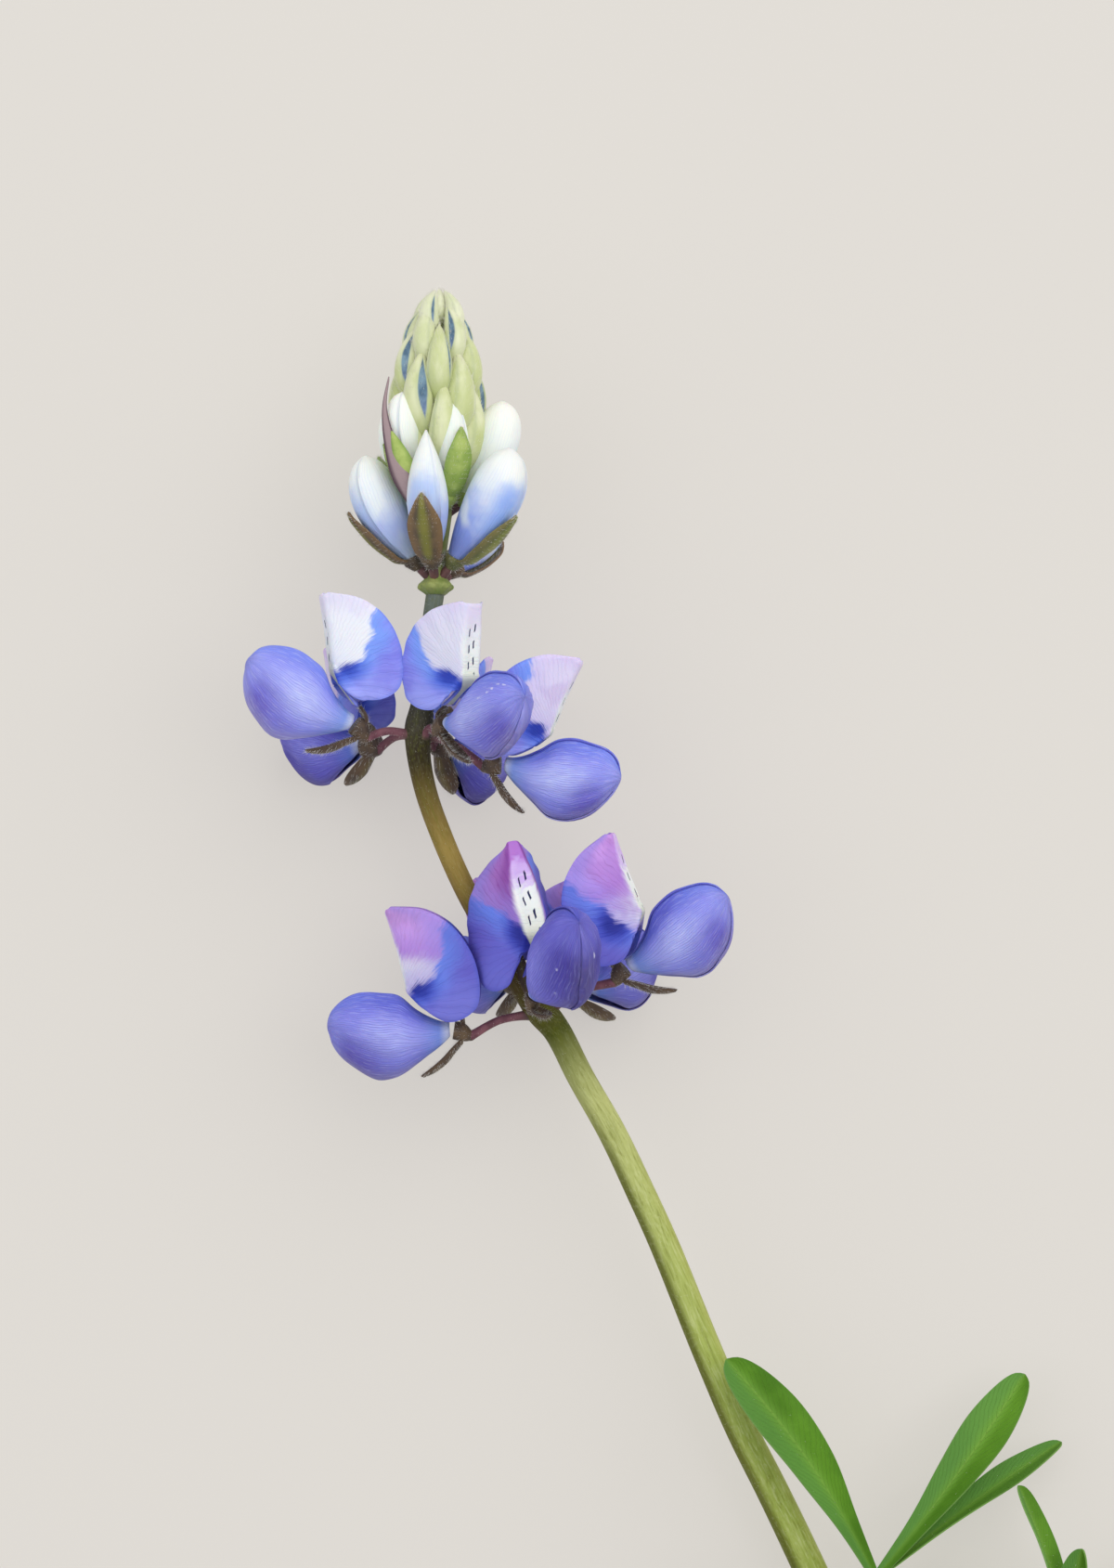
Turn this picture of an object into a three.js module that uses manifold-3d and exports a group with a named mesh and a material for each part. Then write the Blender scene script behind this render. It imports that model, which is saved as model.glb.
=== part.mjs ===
// Lupin flower spike, cut as picked and lying on its side: a curved stem with two palmate
// leaves, two whorls of five open pea flowers and a head of buds at the tip.
// Millimetres. The spike runs along +Y with its tip at the far end, +Z is up, and it rests at
// Z = 0 on the cut end of the stem and on the rear flowers of both whorls.

import {
  BufferGeometry,
  CatmullRomCurve3,
  Float32BufferAttribute,
  Group,
  Mesh,
  MeshStandardMaterial,
  Vector3,
} from 'three';
import { LoftGeometry } from 'three/addons/geometries/LoftGeometry.js';
import { mergeVertices } from 'three/addons/utils/BufferGeometryUtils.js';
import Module from 'manifold-3d';

const solids = await Module();
solids.setup();
const { Manifold, Mesh: SolidMesh } = solids;

// Driving dimensions
const petalThickness = 0.6;
const leafThickness = 0.6;
const sepalThickness = 0.6;
const fittingGap = 0.3;
const pedicelRadius = 0.42;
const wingSlit = 0.5;

// Centre line of the stem from the cut end to the foot of the bud head: x, y, z, radius
const stemLine = [
  [27.2, -81.6, 1.6, 1.75],
  [25.4, -78.2, 1.6, 1.75],
  [22.6, -72.2, 2.5, 1.75],
  [18.2, -63.4, 4.0, 1.7],
  [13.0, -52.6, 5.5, 1.68],
  [8.6, -42.9, 6.9, 1.64],
  [5.4, -36.2, 7.9, 1.6],
  [2.2, -29.8, 8.9, 1.56],
  [-1.1, -22.2, 9.9, 1.5],
  [-5.5, -11.3, 11.2, 1.45],
  [-7.8, -6.2, 11.9, 1.42],
  [-10.6, -0.3, 12.7, 1.38],
  [-13.7, 5.2, 13.4, 1.34],
  [-16.0, 9.7, 13.9, 1.36],
  [-17.6, 11.7, 14.1, 1.5],
  [-19.3, 14.0, 14.2, 1.25],
  [-22.4, 19.0, 14.2, 1.08],
  [-24.9, 23.4, 14.2, 1.06],
  [-27.3, 28.8, 14.2, 1.06],
  [-28.9, 33.4, 14.2, 1.08],
  [-29.6, 37.4, 14.2, 1.2],
  [-29.5, 39.4, 14.2, 1.4],
  [-29.2, 41.5, 14.3, 1.15],
  [-28.7, 45.6, 14.4, 1.02],
  [-28.3, 49.8, 14.6, 1.02],
  [-27.9, 52.2, 14.7, 1.1],
];

// Whorls of open flowers: the point on the stem that carries them and how far they lean
const upperWhorl = { node: [-29.5, 38.9, 14.2], lean: 0, stemRadius: 1.4 };
const lowerWhorl = { node: [-17.6, 11.8, 14.1], lean: 17, stemRadius: 1.5 };

// Open flowers. turn: degrees round the stem, 0 to the right and 90 straight up; rise: degrees
// the wings point along the stem; seat: receptacle from the whorl's point, to the right, along
// the stem and up; nod: degrees the banner leans over the wings; sway: extra sideways lean.
const flowers = [
  {
    name: 'upper_1', whorl: upperWhorl, turn: 165, rise: 28,
    seat: [-6.4, 0.8, 1.6], size: 1, bannerSize: 0.89, nod: 21, sway: 0,
  },
  {
    name: 'upper_2', whorl: upperWhorl, turn: 49, rise: 10,
    seat: [2.7, 0.9, 3.6], size: 0.98, bannerSize: 0.89, nod: 0, sway: 0,
  },
  {
    name: 'upper_3', whorl: upperWhorl, turn: 6, rise: -9,
    seat: [8.1, -3.1, 0.7], size: 0.96, bannerSize: 0.98, nod: 0, sway: 0,
  },
  {
    name: 'upper_4', whorl: upperWhorl, turn: 222, rise: 2,
    seat: [-5.3, -1.1, -4.4], size: 0.9, bannerSize: 0.8, nod: 0, sway: 0,
  },
  {
    name: 'upper_5', whorl: upperWhorl, turn: 300, rise: -13,
    seat: [2.4, -1.3, -4.174], size: 0.92, bannerSize: 0.85, nod: 0, sway: 0,
  },
  {
    name: 'lower_1', whorl: lowerWhorl, turn: 180, rise: 17,
    seat: [-8.85, 0.55, 0], size: 1, bannerSize: 1, nod: 0, sway: 0,
  },
  {
    name: 'lower_2', whorl: lowerWhorl, turn: 63, rise: 27,
    seat: [-0.3, 1.6, 4.5], size: 1.1, bannerSize: 0.97, nod: 0, sway: -8,
  },
  {
    name: 'lower_3', whorl: lowerWhorl, turn: 10, rise: 16,
    seat: [9.2, 1.5, 1.6], size: 1, bannerSize: 0.98, nod: -3, sway: 0,
  },
  {
    name: 'lower_4', whorl: lowerWhorl, turn: 236, rise: 18,
    seat: [-2.1, 3.4, -4.785], size: 0.92, bannerSize: 0.8, nod: 0, sway: 0,
  },
  {
    name: 'lower_5', whorl: lowerWhorl, turn: 316, rise: 8,
    seat: [4.2, 0.6, -5.429], size: 0.95, bannerSize: 0.82, nod: 0, sway: 0,
  },
];

// Shape of one flower in its own axes: forward along the wings, up towards the banner.
// Wings: forward, top seam, lower edge, half width
const wingStations = [
  [0.3, 0.65, -0.75, 0.75],
  [1.2, 0.75, -1.6, 1.15],
  [2.4, 1.2, -2.5, 1.75],
  [3.8, 2.05, -3.45, 2.35],
  [5.4, 3.3, -4.45, 2.8],
  [7.0, 3.6, -4.7, 2.95],
  [8.6, 3.55, -4.2, 2.85],
  [10.0, 3.25, -3.25, 2.4],
  [11.1, 2.6, -2.05, 1.7],
  [11.8, 1.7, -0.8, 1.0],
];
const wingTip = [12.15, 0.45];
const wingClosedFrom = 9.5;

// Banner: claw, front ridge and side outline, as forward and up
const bannerClaw = [[0.6, 1.75], [3.2, 2.95]];
const bannerRidge = [[4.2, 3.6], [4.9, 5.6], [5.45, 7.9], [6.1, 10.0], [6.6, 11.4]];
const bannerEdge = [
  [3.2, 2.6], [1.2, 1.2], [-0.9, 0.8], [-2.4, 2.3], [-2.75, 4.6],
  [-2.2, 6.9], [-0.9, 9.3], [1.1, 11.1], [3.9, 12.1], [6.1, 12.1],
];
const bannerRows = [0, 0.15, 0.32, 0.5, 0.68, 0.84, 1];
const bannerBand = 1.25;
const clawHalfWidth = 0.65;

// Keel: forward, up, half height, half thickness
const keelStations = [
  [1.7, -0.55, 0.4, 0.3],
  [3.6, -1.5, 0.8, 0.45],
  [5.8, -2.1, 0.95, 0.5],
  [7.9, -1.7, 0.9, 0.5],
  [9.2, -0.2, 0.7, 0.4],
  [9.7, 1.4, 0.3, 0.3],
];

// Calyx lips: forward, up, half width along the middle line
const lowerLip = [
  [-0.9, -0.8, 0.6], [0.1, -1.8, 0.95], [1.0, -2.8, 1.15], [2.1, -3.75, 0.9], [3.1, -4.5, 0.3],
];
const upperLip = [[-0.9, 0.5, 0.6], [-0.75, 1.7, 0.75], [-0.35, 2.9, 0.8], [0.1, 3.9, 0.75]];

const point = (values) => new Vector3(values[0], values[1], values[2]);
const radians = (degrees) => degrees * Math.PI / 180;

// A smooth line through plain points, sampled at the given fractions of its length.
function sampleLine(points, fractions) {
  const line = new CatmullRomCurve3(points.map((p) => new Vector3(p[0], p[1], p[2] ?? 0)));
  return fractions.map((fraction) => line.getPointAt(fraction));
}

// A closed body from triangles given as lists of three corners; flattened ones are dropped.
function closedBody(triangles) {
  const kept = triangles.filter(([a, b, c]) => (
    a.distanceTo(b) > 1e-4 && b.distanceTo(c) > 1e-4 && c.distanceTo(a) > 1e-4
  ));
  const geometry = new BufferGeometry();
  const positions = kept.flat().flatMap((corner) => corner.toArray());
  geometry.setAttribute('position', new Float32BufferAttribute(positions, 3));
  return mergeVertices(geometry, 1e-4);
}

// A blade of even thickness about a grid of middle points. Its first and last columns may meet
// from a given row on, which closes the blade there, and its last row may be a single point.
function blade(grid, thickness, closedRow = Infinity) {
  const rows = grid.length;
  const columns = grid[0].length;
  const upper = [];
  const lower = [];
  for (let row = 0; row < rows; row += 1) {
    const closed = row >= closedRow;
    const spread = grid[row][0].distanceTo(grid[row][columns - 2]) > 1e-4;
    const source = spread ? grid[row] : grid[row - 1];
    const normals = source.map((_, column) => {
      const before = column > 0 ? column - 1 : (closed ? columns - 2 : 0);
      const after = column < columns - 1 ? column + 1 : (closed ? 1 : columns - 1);
      const across = source[after].clone().sub(source[before]);
      const along = grid[Math.min(row + 1, rows - 1)][column].clone()
        .sub(grid[Math.max(row - 1, 0)][column]);
      return across.cross(along).normalize();
    });
    if (!spread) {
      const mean = normals.reduce((sum, normal) => sum.add(normal), new Vector3()).normalize();
      normals.forEach((normal) => normal.copy(mean));
    }
    upper.push(grid[row].map((p, i) => p.clone().addScaledVector(normals[i], thickness / 2)));
    lower.push(grid[row].map((p, i) => p.clone().addScaledVector(normals[i], -thickness / 2)));
  }
  const triangles = [];
  const quad = (a, b, c, d) => triangles.push([a, b, c], [a, c, d]);
  for (let row = 0; row < rows - 1; row += 1) {
    for (let column = 0; column < columns - 1; column += 1) {
      const next = column + 1;
      quad(upper[row][column], upper[row][next], upper[row + 1][next], upper[row + 1][column]);
      triangles.push([lower[row][column], lower[row + 1][next], lower[row][next]]);
      triangles.push([lower[row][column], lower[row + 1][column], lower[row + 1][next]]);
    }
    if (row < closedRow) {
      const last = columns - 1;
      quad(lower[row][0], upper[row][0], upper[row + 1][0], lower[row + 1][0]);
      quad(upper[row][last], lower[row][last], lower[row + 1][last], upper[row + 1][last]);
    }
  }
  for (let column = 0; column < columns - 1; column += 1) {
    const next = column + 1;
    const end = rows - 1;
    quad(lower[0][column], lower[0][next], upper[0][next], upper[0][column]);
    quad(upper[end][column], upper[end][next], lower[end][next], lower[end][column]);
  }
  return closedBody(triangles);
}

// A round or oval body along a line: each station gives its middle, width and depth; the depth
// is measured along the hint direction.
function limb(middles, widths, depths, sides, hint) {
  const sections = middles.map((middle, index) => {
    const ahead = middles[Math.min(index + 1, middles.length - 1)];
    const behind = middles[Math.max(index - 1, 0)];
    const along = ahead.clone().sub(behind).normalize();
    const across = hint.clone().cross(along).normalize();
    const out = along.clone().cross(across);
    const ring = [];
    for (let side = 0; side < sides; side += 1) {
      const angle = 2 * Math.PI * (side + 0.5) / sides;
      ring.push(middle.clone()
        .addScaledVector(across, widths[index] * Math.cos(angle))
        .addScaledVector(out, depths[index] * Math.sin(angle)));
    }
    return ring;
  });
  return new LoftGeometry(sections, { closed: true, capStart: true, capEnd: true });
}

function toSolid(geometry) {
  const bare = new BufferGeometry();
  bare.setAttribute('position', geometry.getAttribute('position').clone());
  bare.setIndex(geometry.getIndex());
  const merged = mergeVertices(bare, 1e-4);
  return new Manifold(new SolidMesh({
    numProp: 3,
    vertProperties: merged.getAttribute('position').array,
    triVerts: new Uint32Array(merged.getIndex().array),
  }));
}

function toGeometry(solid) {
  const mesh = solid.getMesh();
  const geometry = new BufferGeometry();
  geometry.setAttribute('position', new Float32BufferAttribute(mesh.vertProperties, 3));
  geometry.setIndex([...mesh.triVerts]);
  return geometry;
}

// The largest body of a solid, without loose scraps.
function largest(solid) {
  const bodies = solid.decompose();
  bodies.sort((a, b) => b.volume() - a.volume());
  return bodies[0];
}

const fuse = (geometries) => largest(Manifold.union(geometries.map(toSolid)));

// Axes of one flower in the part's frame, and a function that places its own coordinates.
function flowerAxes({ whorl, turn, rise, seat, size, sway }) {
  const lean = radians(whorl.lean + sway);
  const stemUp = new Vector3(-Math.sin(lean), Math.cos(lean), 0);
  const right = new Vector3(Math.cos(lean), Math.sin(lean), 0);
  const front = new Vector3(0, 0, 1);
  const outward = right.clone().multiplyScalar(Math.cos(radians(turn)))
    .addScaledVector(front, Math.sin(radians(turn)));
  const forward = outward.clone().multiplyScalar(Math.cos(radians(rise)))
    .addScaledVector(stemUp, Math.sin(radians(rise)));
  const up = outward.clone().multiplyScalar(-Math.sin(radians(rise)))
    .addScaledVector(stemUp, Math.cos(radians(rise)));
  const side = forward.clone().cross(up);
  const origin = point(whorl.node).addScaledVector(right, seat[0])
    .addScaledVector(stemUp, seat[1]).addScaledVector(front, seat[2]);
  const place = (f, u, s) => origin.clone().addScaledVector(forward, f * size)
    .addScaledVector(up, u * size).addScaledVector(side, s * size);
  return { place, origin, forward, up, side, stemUp };
}

// The two wing petals: joined along the top seam and round the front, open in a slit below.
function wings({ place }, size) {
  const halfColumns = [1, 0.64, 0.28];
  const grid = wingStations.map(([f, top, bottom, halfWidth]) => {
    const slit = f < wingClosedFrom ? (wingSlit / size / halfWidth) ** 1.25 : 0;
    const reach = (1 + Math.sqrt(1 - slit)) / 2;
    const half = (fraction, sign) => {
      const drop = reach * fraction;
      const s = halfWidth * (4 * drop * (1 - drop)) ** 0.8;
      return place(f, top + (bottom - top) * drop, sign * Math.max(s, 0));
    };
    return [
      ...halfColumns.map((fraction) => half(fraction, -1)),
      place(f, top, 0),
      ...halfColumns.toReversed().map((fraction) => half(fraction, 1)),
    ];
  });
  grid.push(grid[0].map(() => place(wingTip[0], wingTip[1], 0)));
  const closedRow = wingStations.findIndex(([f]) => f >= wingClosedFrom);
  return blade(grid, petalThickness, closedRow);
}

// The banner: a claw over the wings, a grooved band up the front and two flanks folded back.
function banner({ place }, bannerSize, nod) {
  const turn = radians(nod);
  const pivot = bannerRidge[0];
  const lean = ([f, u]) => {
    const forward = (f - pivot[0]) * bannerSize;
    const up = (u - pivot[1]) * bannerSize;
    return [
      pivot[0] + forward * Math.cos(turn) + up * Math.sin(turn),
      pivot[1] - forward * Math.sin(turn) + up * Math.cos(turn),
    ];
  };
  const claw = bannerClaw.map(([f, u]) => (
    [-1, -0.75, -0.5, -0.25, 0, 0.25, 0.5, 0.75, 1].map((v) => place(f, u, v * clawHalfWidth))
  ));
  const ridge = sampleLine(bannerRidge, bannerRows);
  const edge = sampleLine(bannerEdge, bannerRows);
  const forwardOfRidge = [0.966, -0.26];
  const rows = ridge.map((r, index) => {
    const e = edge[index];
    const rowFraction = bannerRows[index];
    const band = bannerBand * (0.8 + 0.2 * Math.sin(Math.PI * rowFraction));
    const flank = (w, sign) => {
      const f = r.x + (e.x - r.x) * w;
      const u = r.y + (e.y - r.y) * w;
      const back = (r.x - f) * forwardOfRidge[0] + (r.y - u) * forwardOfRidge[1];
      const s = (band + 0.6 * back - 0.035 * back * back) * bannerSize;
      return place(...lean([f, u]), sign * s);
    };
    const groove = 0.25 * Math.sin(Math.PI * rowFraction);
    const notch = index === bannerRows.length - 1 ? 0.35 : 0;
    return [
      flank(1, -1), flank(0.66, -1), flank(0.3, -1), flank(0, -1),
      place(...lean([r.x - groove, r.y - notch]), 0),
      flank(0, 1), flank(0.3, 1), flank(0.66, 1), flank(1, 1),
    ];
  });
  return blade([...claw, ...rows], petalThickness);
}

// The keel: a flat crescent hidden between the wings.
function keel({ place, side }, size) {
  const middles = keelStations.map(([f, u]) => place(f, u, 0));
  const heights = keelStations.map((station) => station[2] * size);
  const thicknesses = keelStations.map((station) => station[3] * size);
  return limb(middles, heights, thicknesses, 6, side);
}

// A calyx lip: a keeled blade along a middle line, bent outward in the middle.
function lip({ place }, stations, bulge) {
  const grid = stations.map(([f, u, halfWidth]) => [
    place(f, u, -halfWidth),
    place(f + bulge[0] * halfWidth, u + bulge[1] * halfWidth, 0),
    place(f, u, halfWidth),
  ]);
  return blade(grid, sepalThickness);
}

// The pedicel and the two-lipped calyx, fused.
function calyx(axes, whorl) {
  const { place, origin, side, stemUp } = axes;
  const cupLine = [[-2.1, -0.75], [-1.4, -0.45], [-0.7, -0.1], [-0.12, 0]];
  const cupRadii = [0.45, 0.95, 1.25, 1.2];
  const cup = limb(cupLine.map(([f, u]) => place(f, u, 0)), cupRadii, cupRadii, 6, side);
  const node = point(whorl.node);
  const root = place(-1.7, -0.6, 0);
  const outward = root.clone().sub(node);
  outward.addScaledVector(stemUp, -outward.dot(stemUp)).normalize();
  const start = node.clone().addScaledVector(outward, whorl.stemRadius + fittingGap)
    .addScaledVector(stemUp, -0.2);
  const middle = start.clone().lerp(root, 0.5).addScaledVector(stemUp, 0.5);
  const line = new CatmullRomCurve3([start, middle, root]);
  const middles = [0, 0.33, 0.67, 1].map((t) => line.getPointAt(t));
  const radii = middles.map(() => pedicelRadius);
  const stalk = limb(middles, radii, radii, 5, side);
  return fuse([cup, stalk, lip(axes, lowerLip, [-0.35, -0.45]), lip(axes, upperLip, [-0.4, 0.1])]);
}

// The stem: a slightly bent rod with a small flat under the cut end.
function stem() {
  const line = new CatmullRomCurve3(stemLine.map(point));
  const radiusLine = new CatmullRomCurve3(stemLine.map((s) => new Vector3(s[3], 0, 0)));
  const steps = 36;
  const middles = [];
  const radii = [];
  for (let step = 0; step <= steps; step += 1) {
    middles.push(line.getPoint(step / steps));
    radii.push(radiusLine.getPoint(step / steps).x);
  }
  const rod = limb(middles, radii, radii, 8, new Vector3(0, 0, 1));
  const positions = rod.getAttribute('position');
  for (let index = 0; index < positions.count; index += 1) {
    positions.setZ(index, Math.max(positions.getZ(index), 0));
  }
  return toGeometry(toSolid(rod));
}

// Leaves: where the leaf stalk leaves the stem, where the leaflets meet, and the leaflets
// as compass angle (0 right, 90 along the spike), climb, length, half width, roll, bow.
const leaves = [
  {
    name: 'leaf_1',
    foot: [20.6, -63.4, 4.8],
    hub: [15.4, -44.5, 10.0],
    leaflets: [
      [124, 8, 26.8, 2.7, 25, -0.04],
      [52.5, -12, 25.4, 2.3, -20, -0.05],
      [35, -18, 24.0, 2.1, -55, -0.05],
      [-14, -18, 21, 2.2, -30, 0.05],
      [-60, -12, 20, 2.1, 10, 0.05],
      [-122, 12, 20, 2.1, 30, 0.05],
      [-172, 18, 20, 2.2, 40, 0.05],
    ],
  },
  {
    name: 'leaf_2',
    foot: [26.0, -74.0, 3.0],
    hub: [35.2, -53.0, 8.0],
    leaflets: [
      [108, 4, 18.6, 1.9, 72, 0.04],
      [88, 20, 12.5, 1.7, -45, 0.04],
      [44, -14, 14, 1.9, -20, 0.04],
      [-5, -16, 12.3, 1.8, -10, 0.04],
      [-60, -10, 15, 1.8, 10, 0.04],
      [-115, 8, 15, 1.8, 20, 0.04],
      [160, 24, 13, 1.8, 40, 0.04],
    ],
  },
];

// One leaflet: narrow at the foot, widest past the middle, folded a little along its midrib.
function leaflet(hub, [compass, climb, length, halfWidth, roll, bow]) {
  const flat = new Vector3(Math.cos(radians(compass)), Math.sin(radians(compass)), 0);
  const rise = radians(climb);
  const along = flat.clone().multiplyScalar(Math.cos(rise)).add(new Vector3(0, 0, Math.sin(rise)));
  const level = new Vector3(0, 0, 1).cross(flat);
  const face = along.clone().cross(level);
  const across = level.clone().multiplyScalar(Math.cos(radians(roll)))
    .addScaledVector(face, Math.sin(radians(roll)));
  const normal = along.clone().cross(across);
  const stations = [[0.02, 0.2], [0.25, 0.46], [0.5, 0.84], [0.74, 1], [0.92, 0.68], [1, 0.18]];
  const grid = stations.map(([t, share]) => {
    const middle = hub.clone().addScaledVector(along, t * length)
      .addScaledVector(normal, Math.abs(bow) * length * Math.sin(Math.PI * t))
      .addScaledVector(across, bow * length * Math.sin(Math.PI * t) * 0.6);
    const half = halfWidth * share;
    return [-1, 0, 1].map((v) => middle.clone().addScaledVector(across, v * half)
      .addScaledVector(normal, Math.abs(v) * half * 0.3));
  });
  return blade(grid, leafThickness);
}

function leaf({ foot, hub, leaflets }) {
  const start = point(foot);
  const end = point(hub);
  const bow = new Vector3(0.8, 0, 0.6);
  const line = new CatmullRomCurve3([start, start.clone().lerp(end, 0.5).add(bow), end]);
  const middles = [0, 0.2, 0.4, 0.6, 0.8, 1].map((t) => line.getPointAt(t));
  const radii = [0.75, 0.6, 0.55, 0.55, 0.55, 0.7];
  const stalk = limb(middles, radii, radii, 6, new Vector3(0, 0, 1));
  return fuse([stalk, ...leaflets.map((values) => leaflet(end, values))]);
}

// Bud head: its axis, rings of young buds and the ten large buds below them.
const headFoot = [-27.85, 52.95, 14.7];
const headTop = [-27.6, 82.0, 12.6];

// Young buds: height up the head, number, foot radius, outward tilt, length, half width, turn
const youngRings = [
  [11.0, 6, 2.0, 8, 9.2, 1.35, 20],
  [14.6, 5, 2.4, 3, 8.6, 1.4, 50],
  [18.2, 5, 2.4, -3, 7.6, 1.2, 15],
  [21.8, 5, 1.9, -6, 6.2, 1.0, 50],
  [24.8, 3, 1.0, -7, 4.6, 0.85, 30],
];

// Large buds: turn round the head, height of the foot up the head, foot radius, outward tilt,
// petal length, half width, half depth, lip length
const largeBuds = [
  {
    name: 'a1', turn: 165, height: 3.0, radius: 2.3, tilt: 27,
    length: 11.0, width: 2.2, depth: 2.5, lip: 6.4,
  },
  {
    name: 'a2', turn: 100, height: 3.0, radius: 2.4, tilt: 16,
    length: 12.4, width: 2.0, depth: 2.2, lip: 6.6,
  },
  {
    name: 'a3', turn: 36, height: 3.0, radius: 2.4, tilt: 33,
    length: 12.2, width: 2.5, depth: 2.7, lip: 6.6,
  },
  {
    name: 'a4', turn: 312, height: 2.4, radius: 2.5, tilt: 38,
    length: 9.5, width: 2.1, depth: 2.5, lip: 6.4,
  },
  {
    name: 'a5', turn: 244, height: 3.0, radius: 2.4, tilt: 28,
    length: 10.5, width: 2.0, depth: 2.4, lip: 6.6,
  },
  {
    name: 'b1', turn: 140, height: 9.8, radius: 2.4, tilt: 12,
    length: 9.4, width: 1.55, depth: 1.8, lip: 4.6,
  },
  {
    name: 'b2', turn: 66, height: 9.0, radius: 2.4, tilt: 6,
    length: 10.0, width: 1.5, depth: 1.6, lip: 6.6,
  },
  {
    name: 'b3', turn: 0, height: 9.2, radius: 2.8, tilt: 21,
    length: 10.0, width: 2.0, depth: 2.3, lip: 4.8,
  },
  {
    name: 'b4', turn: 290, height: 9.4, radius: 2.4, tilt: 14,
    length: 9.6, width: 1.6, depth: 1.9, lip: 4.8,
  },
  {
    name: 'b5', turn: 212, height: 9.4, radius: 2.4, tilt: 14,
    length: 9.6, width: 1.6, depth: 1.9, lip: 4.8,
  },
];

const lipHalfWidth = 1.3;

const headStart = point(headFoot);
const headAlong = point(headTop).sub(headStart).normalize();
const headRight = new Vector3(1, 0, 0).addScaledVector(headAlong, -headAlong.x).normalize();
const headFront = headRight.clone().cross(headAlong);

const headOutward = (turn) => headRight.clone().multiplyScalar(Math.cos(radians(turn)))
  .addScaledVector(headFront, Math.sin(radians(turn)));

// A spindle from a foot in the bud head, tilted outward; swell widens it all round.
function spindle(turn, height, radius, tilt, length, width, depth, shares, sides, swell = 0) {
  const outward = headOutward(turn);
  const along = headAlong.clone().multiplyScalar(Math.cos(radians(tilt)))
    .addScaledVector(outward, Math.sin(radians(tilt)));
  const foot = headStart.clone().addScaledVector(headAlong, height)
    .addScaledVector(outward, radius);
  const middles = shares.map(([t]) => foot.clone()
    .addScaledVector(along, t * length + (t > 0.5 ? swell : -swell) * 0.5)
    .addScaledVector(outward, 0.9 * Math.sin(Math.PI * t)));
  const widths = shares.map(([, share]) => width * share + swell);
  const depths = shares.map(([, share]) => depth * share + swell);
  return limb(middles, widths, depths, sides, outward);
}

const youngShape = [[0, 0.5], [0.3, 1], [0.65, 0.8], [1, 0.15]];
const petalShape = [[0, 0.35], [0.22, 0.72], [0.5, 1], [0.76, 0.92], [0.92, 0.5], [1, 0.15]];

// The share of the full width that a shape has at a fraction of its length.
function shareAt(shape, fraction) {
  const next = Math.max(1, shape.findIndex(([at]) => at >= fraction));
  const [[from, low], [to, high]] = [shape[next - 1], shape[next]];
  return low + (high - low) * Math.max(0, (fraction - from) / (to - from));
}

const largePetal = (bud, swell) => spindle(
  bud.turn, bud.height, bud.radius, bud.tilt, bud.length, bud.width, bud.depth, petalShape, 6, swell,
);

// The calyx of a large bud: a stalk from the axis, a small cup and the long outer lip.
function budCalyx({ turn, height, radius, tilt, length, depth, lip: lipLength }) {
  const outward = headOutward(turn);
  const along = headAlong.clone().multiplyScalar(Math.cos(radians(tilt)))
    .addScaledVector(outward, Math.sin(radians(tilt)));
  const away = outward.clone().multiplyScalar(Math.cos(radians(tilt)))
    .addScaledVector(headAlong, -Math.sin(radians(tilt)));
  const across = along.clone().cross(away);
  const foot = headStart.clone().addScaledVector(headAlong, height)
    .addScaledVector(outward, radius);
  const axisPoint = headStart.clone().addScaledVector(headAlong, height - 2.6);
  const stalkEnd = foot.clone().addScaledVector(along, -0.6);
  const stalk = limb([axisPoint, axisPoint.clone().lerp(stalkEnd, 0.5), stalkEnd],
    [0.45, 0.42, 0.6], [0.45, 0.42, 0.6], 5, across);
  const cup = limb(
    [-1.3, -0.5, 0.1].map((t) => foot.clone().addScaledVector(along, t)),
    [0.5, 1.1, 1.2], [0.5, 1.1, 1.2], 6, outward,
  );
  const stations = [[-0.08, 0.4], [0.15, 0.85], [0.5, 1], [1, 0.15]];
  const grid = stations.map(([t, share]) => {
    const reach = t * lipLength;
    const belly = depth * shareAt(petalShape, reach / length) + fittingGap + sepalThickness / 2;
    const clear = reach > 0 ? belly + 0.15 : 0.7;
    const middle = foot.clone().addScaledVector(along, reach)
      .addScaledVector(outward, 0.9 * Math.sin(Math.PI * Math.max(reach, 0) / length))
      .addScaledVector(away, clear);
    const half = share * lipHalfWidth;
    return [-1, 0, 1].map((v) => middle.clone().addScaledVector(across, v * half)
      .addScaledVector(away, -Math.abs(v) * half * 0.35));
  });
  return [stalk, cup, blade(grid, sepalThickness)];
}

// The green of the head: axis, young buds and the calyces of the large buds, cut clear of
// the coloured petals.
function budHead(petalSeats) {
  const heights = [0, 3, 8, 14, 20, 26.5];
  const coreRadii = [0.95, 0.95, 1.6, 2.1, 1.8, 0.6];
  const core = limb(
    heights.map((height) => headStart.clone().addScaledVector(headAlong, height)),
    coreRadii, coreRadii, 6, headFront,
  );
  const young = youngRings.flatMap(([height, count, radius, tilt, length, width, turn]) => (
    Array.from({ length: count }, (_, index) => (
      spindle(turn + 360 * index / count, height, radius, tilt, length, width, width, youngShape, 5)
    ))
  ));
  const calyces = largeBuds.flatMap(budCalyx);
  const whole = Manifold.union([core, ...young, ...calyces].map(toSolid));
  return largest(whole.subtract(petalSeats));
}

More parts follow.
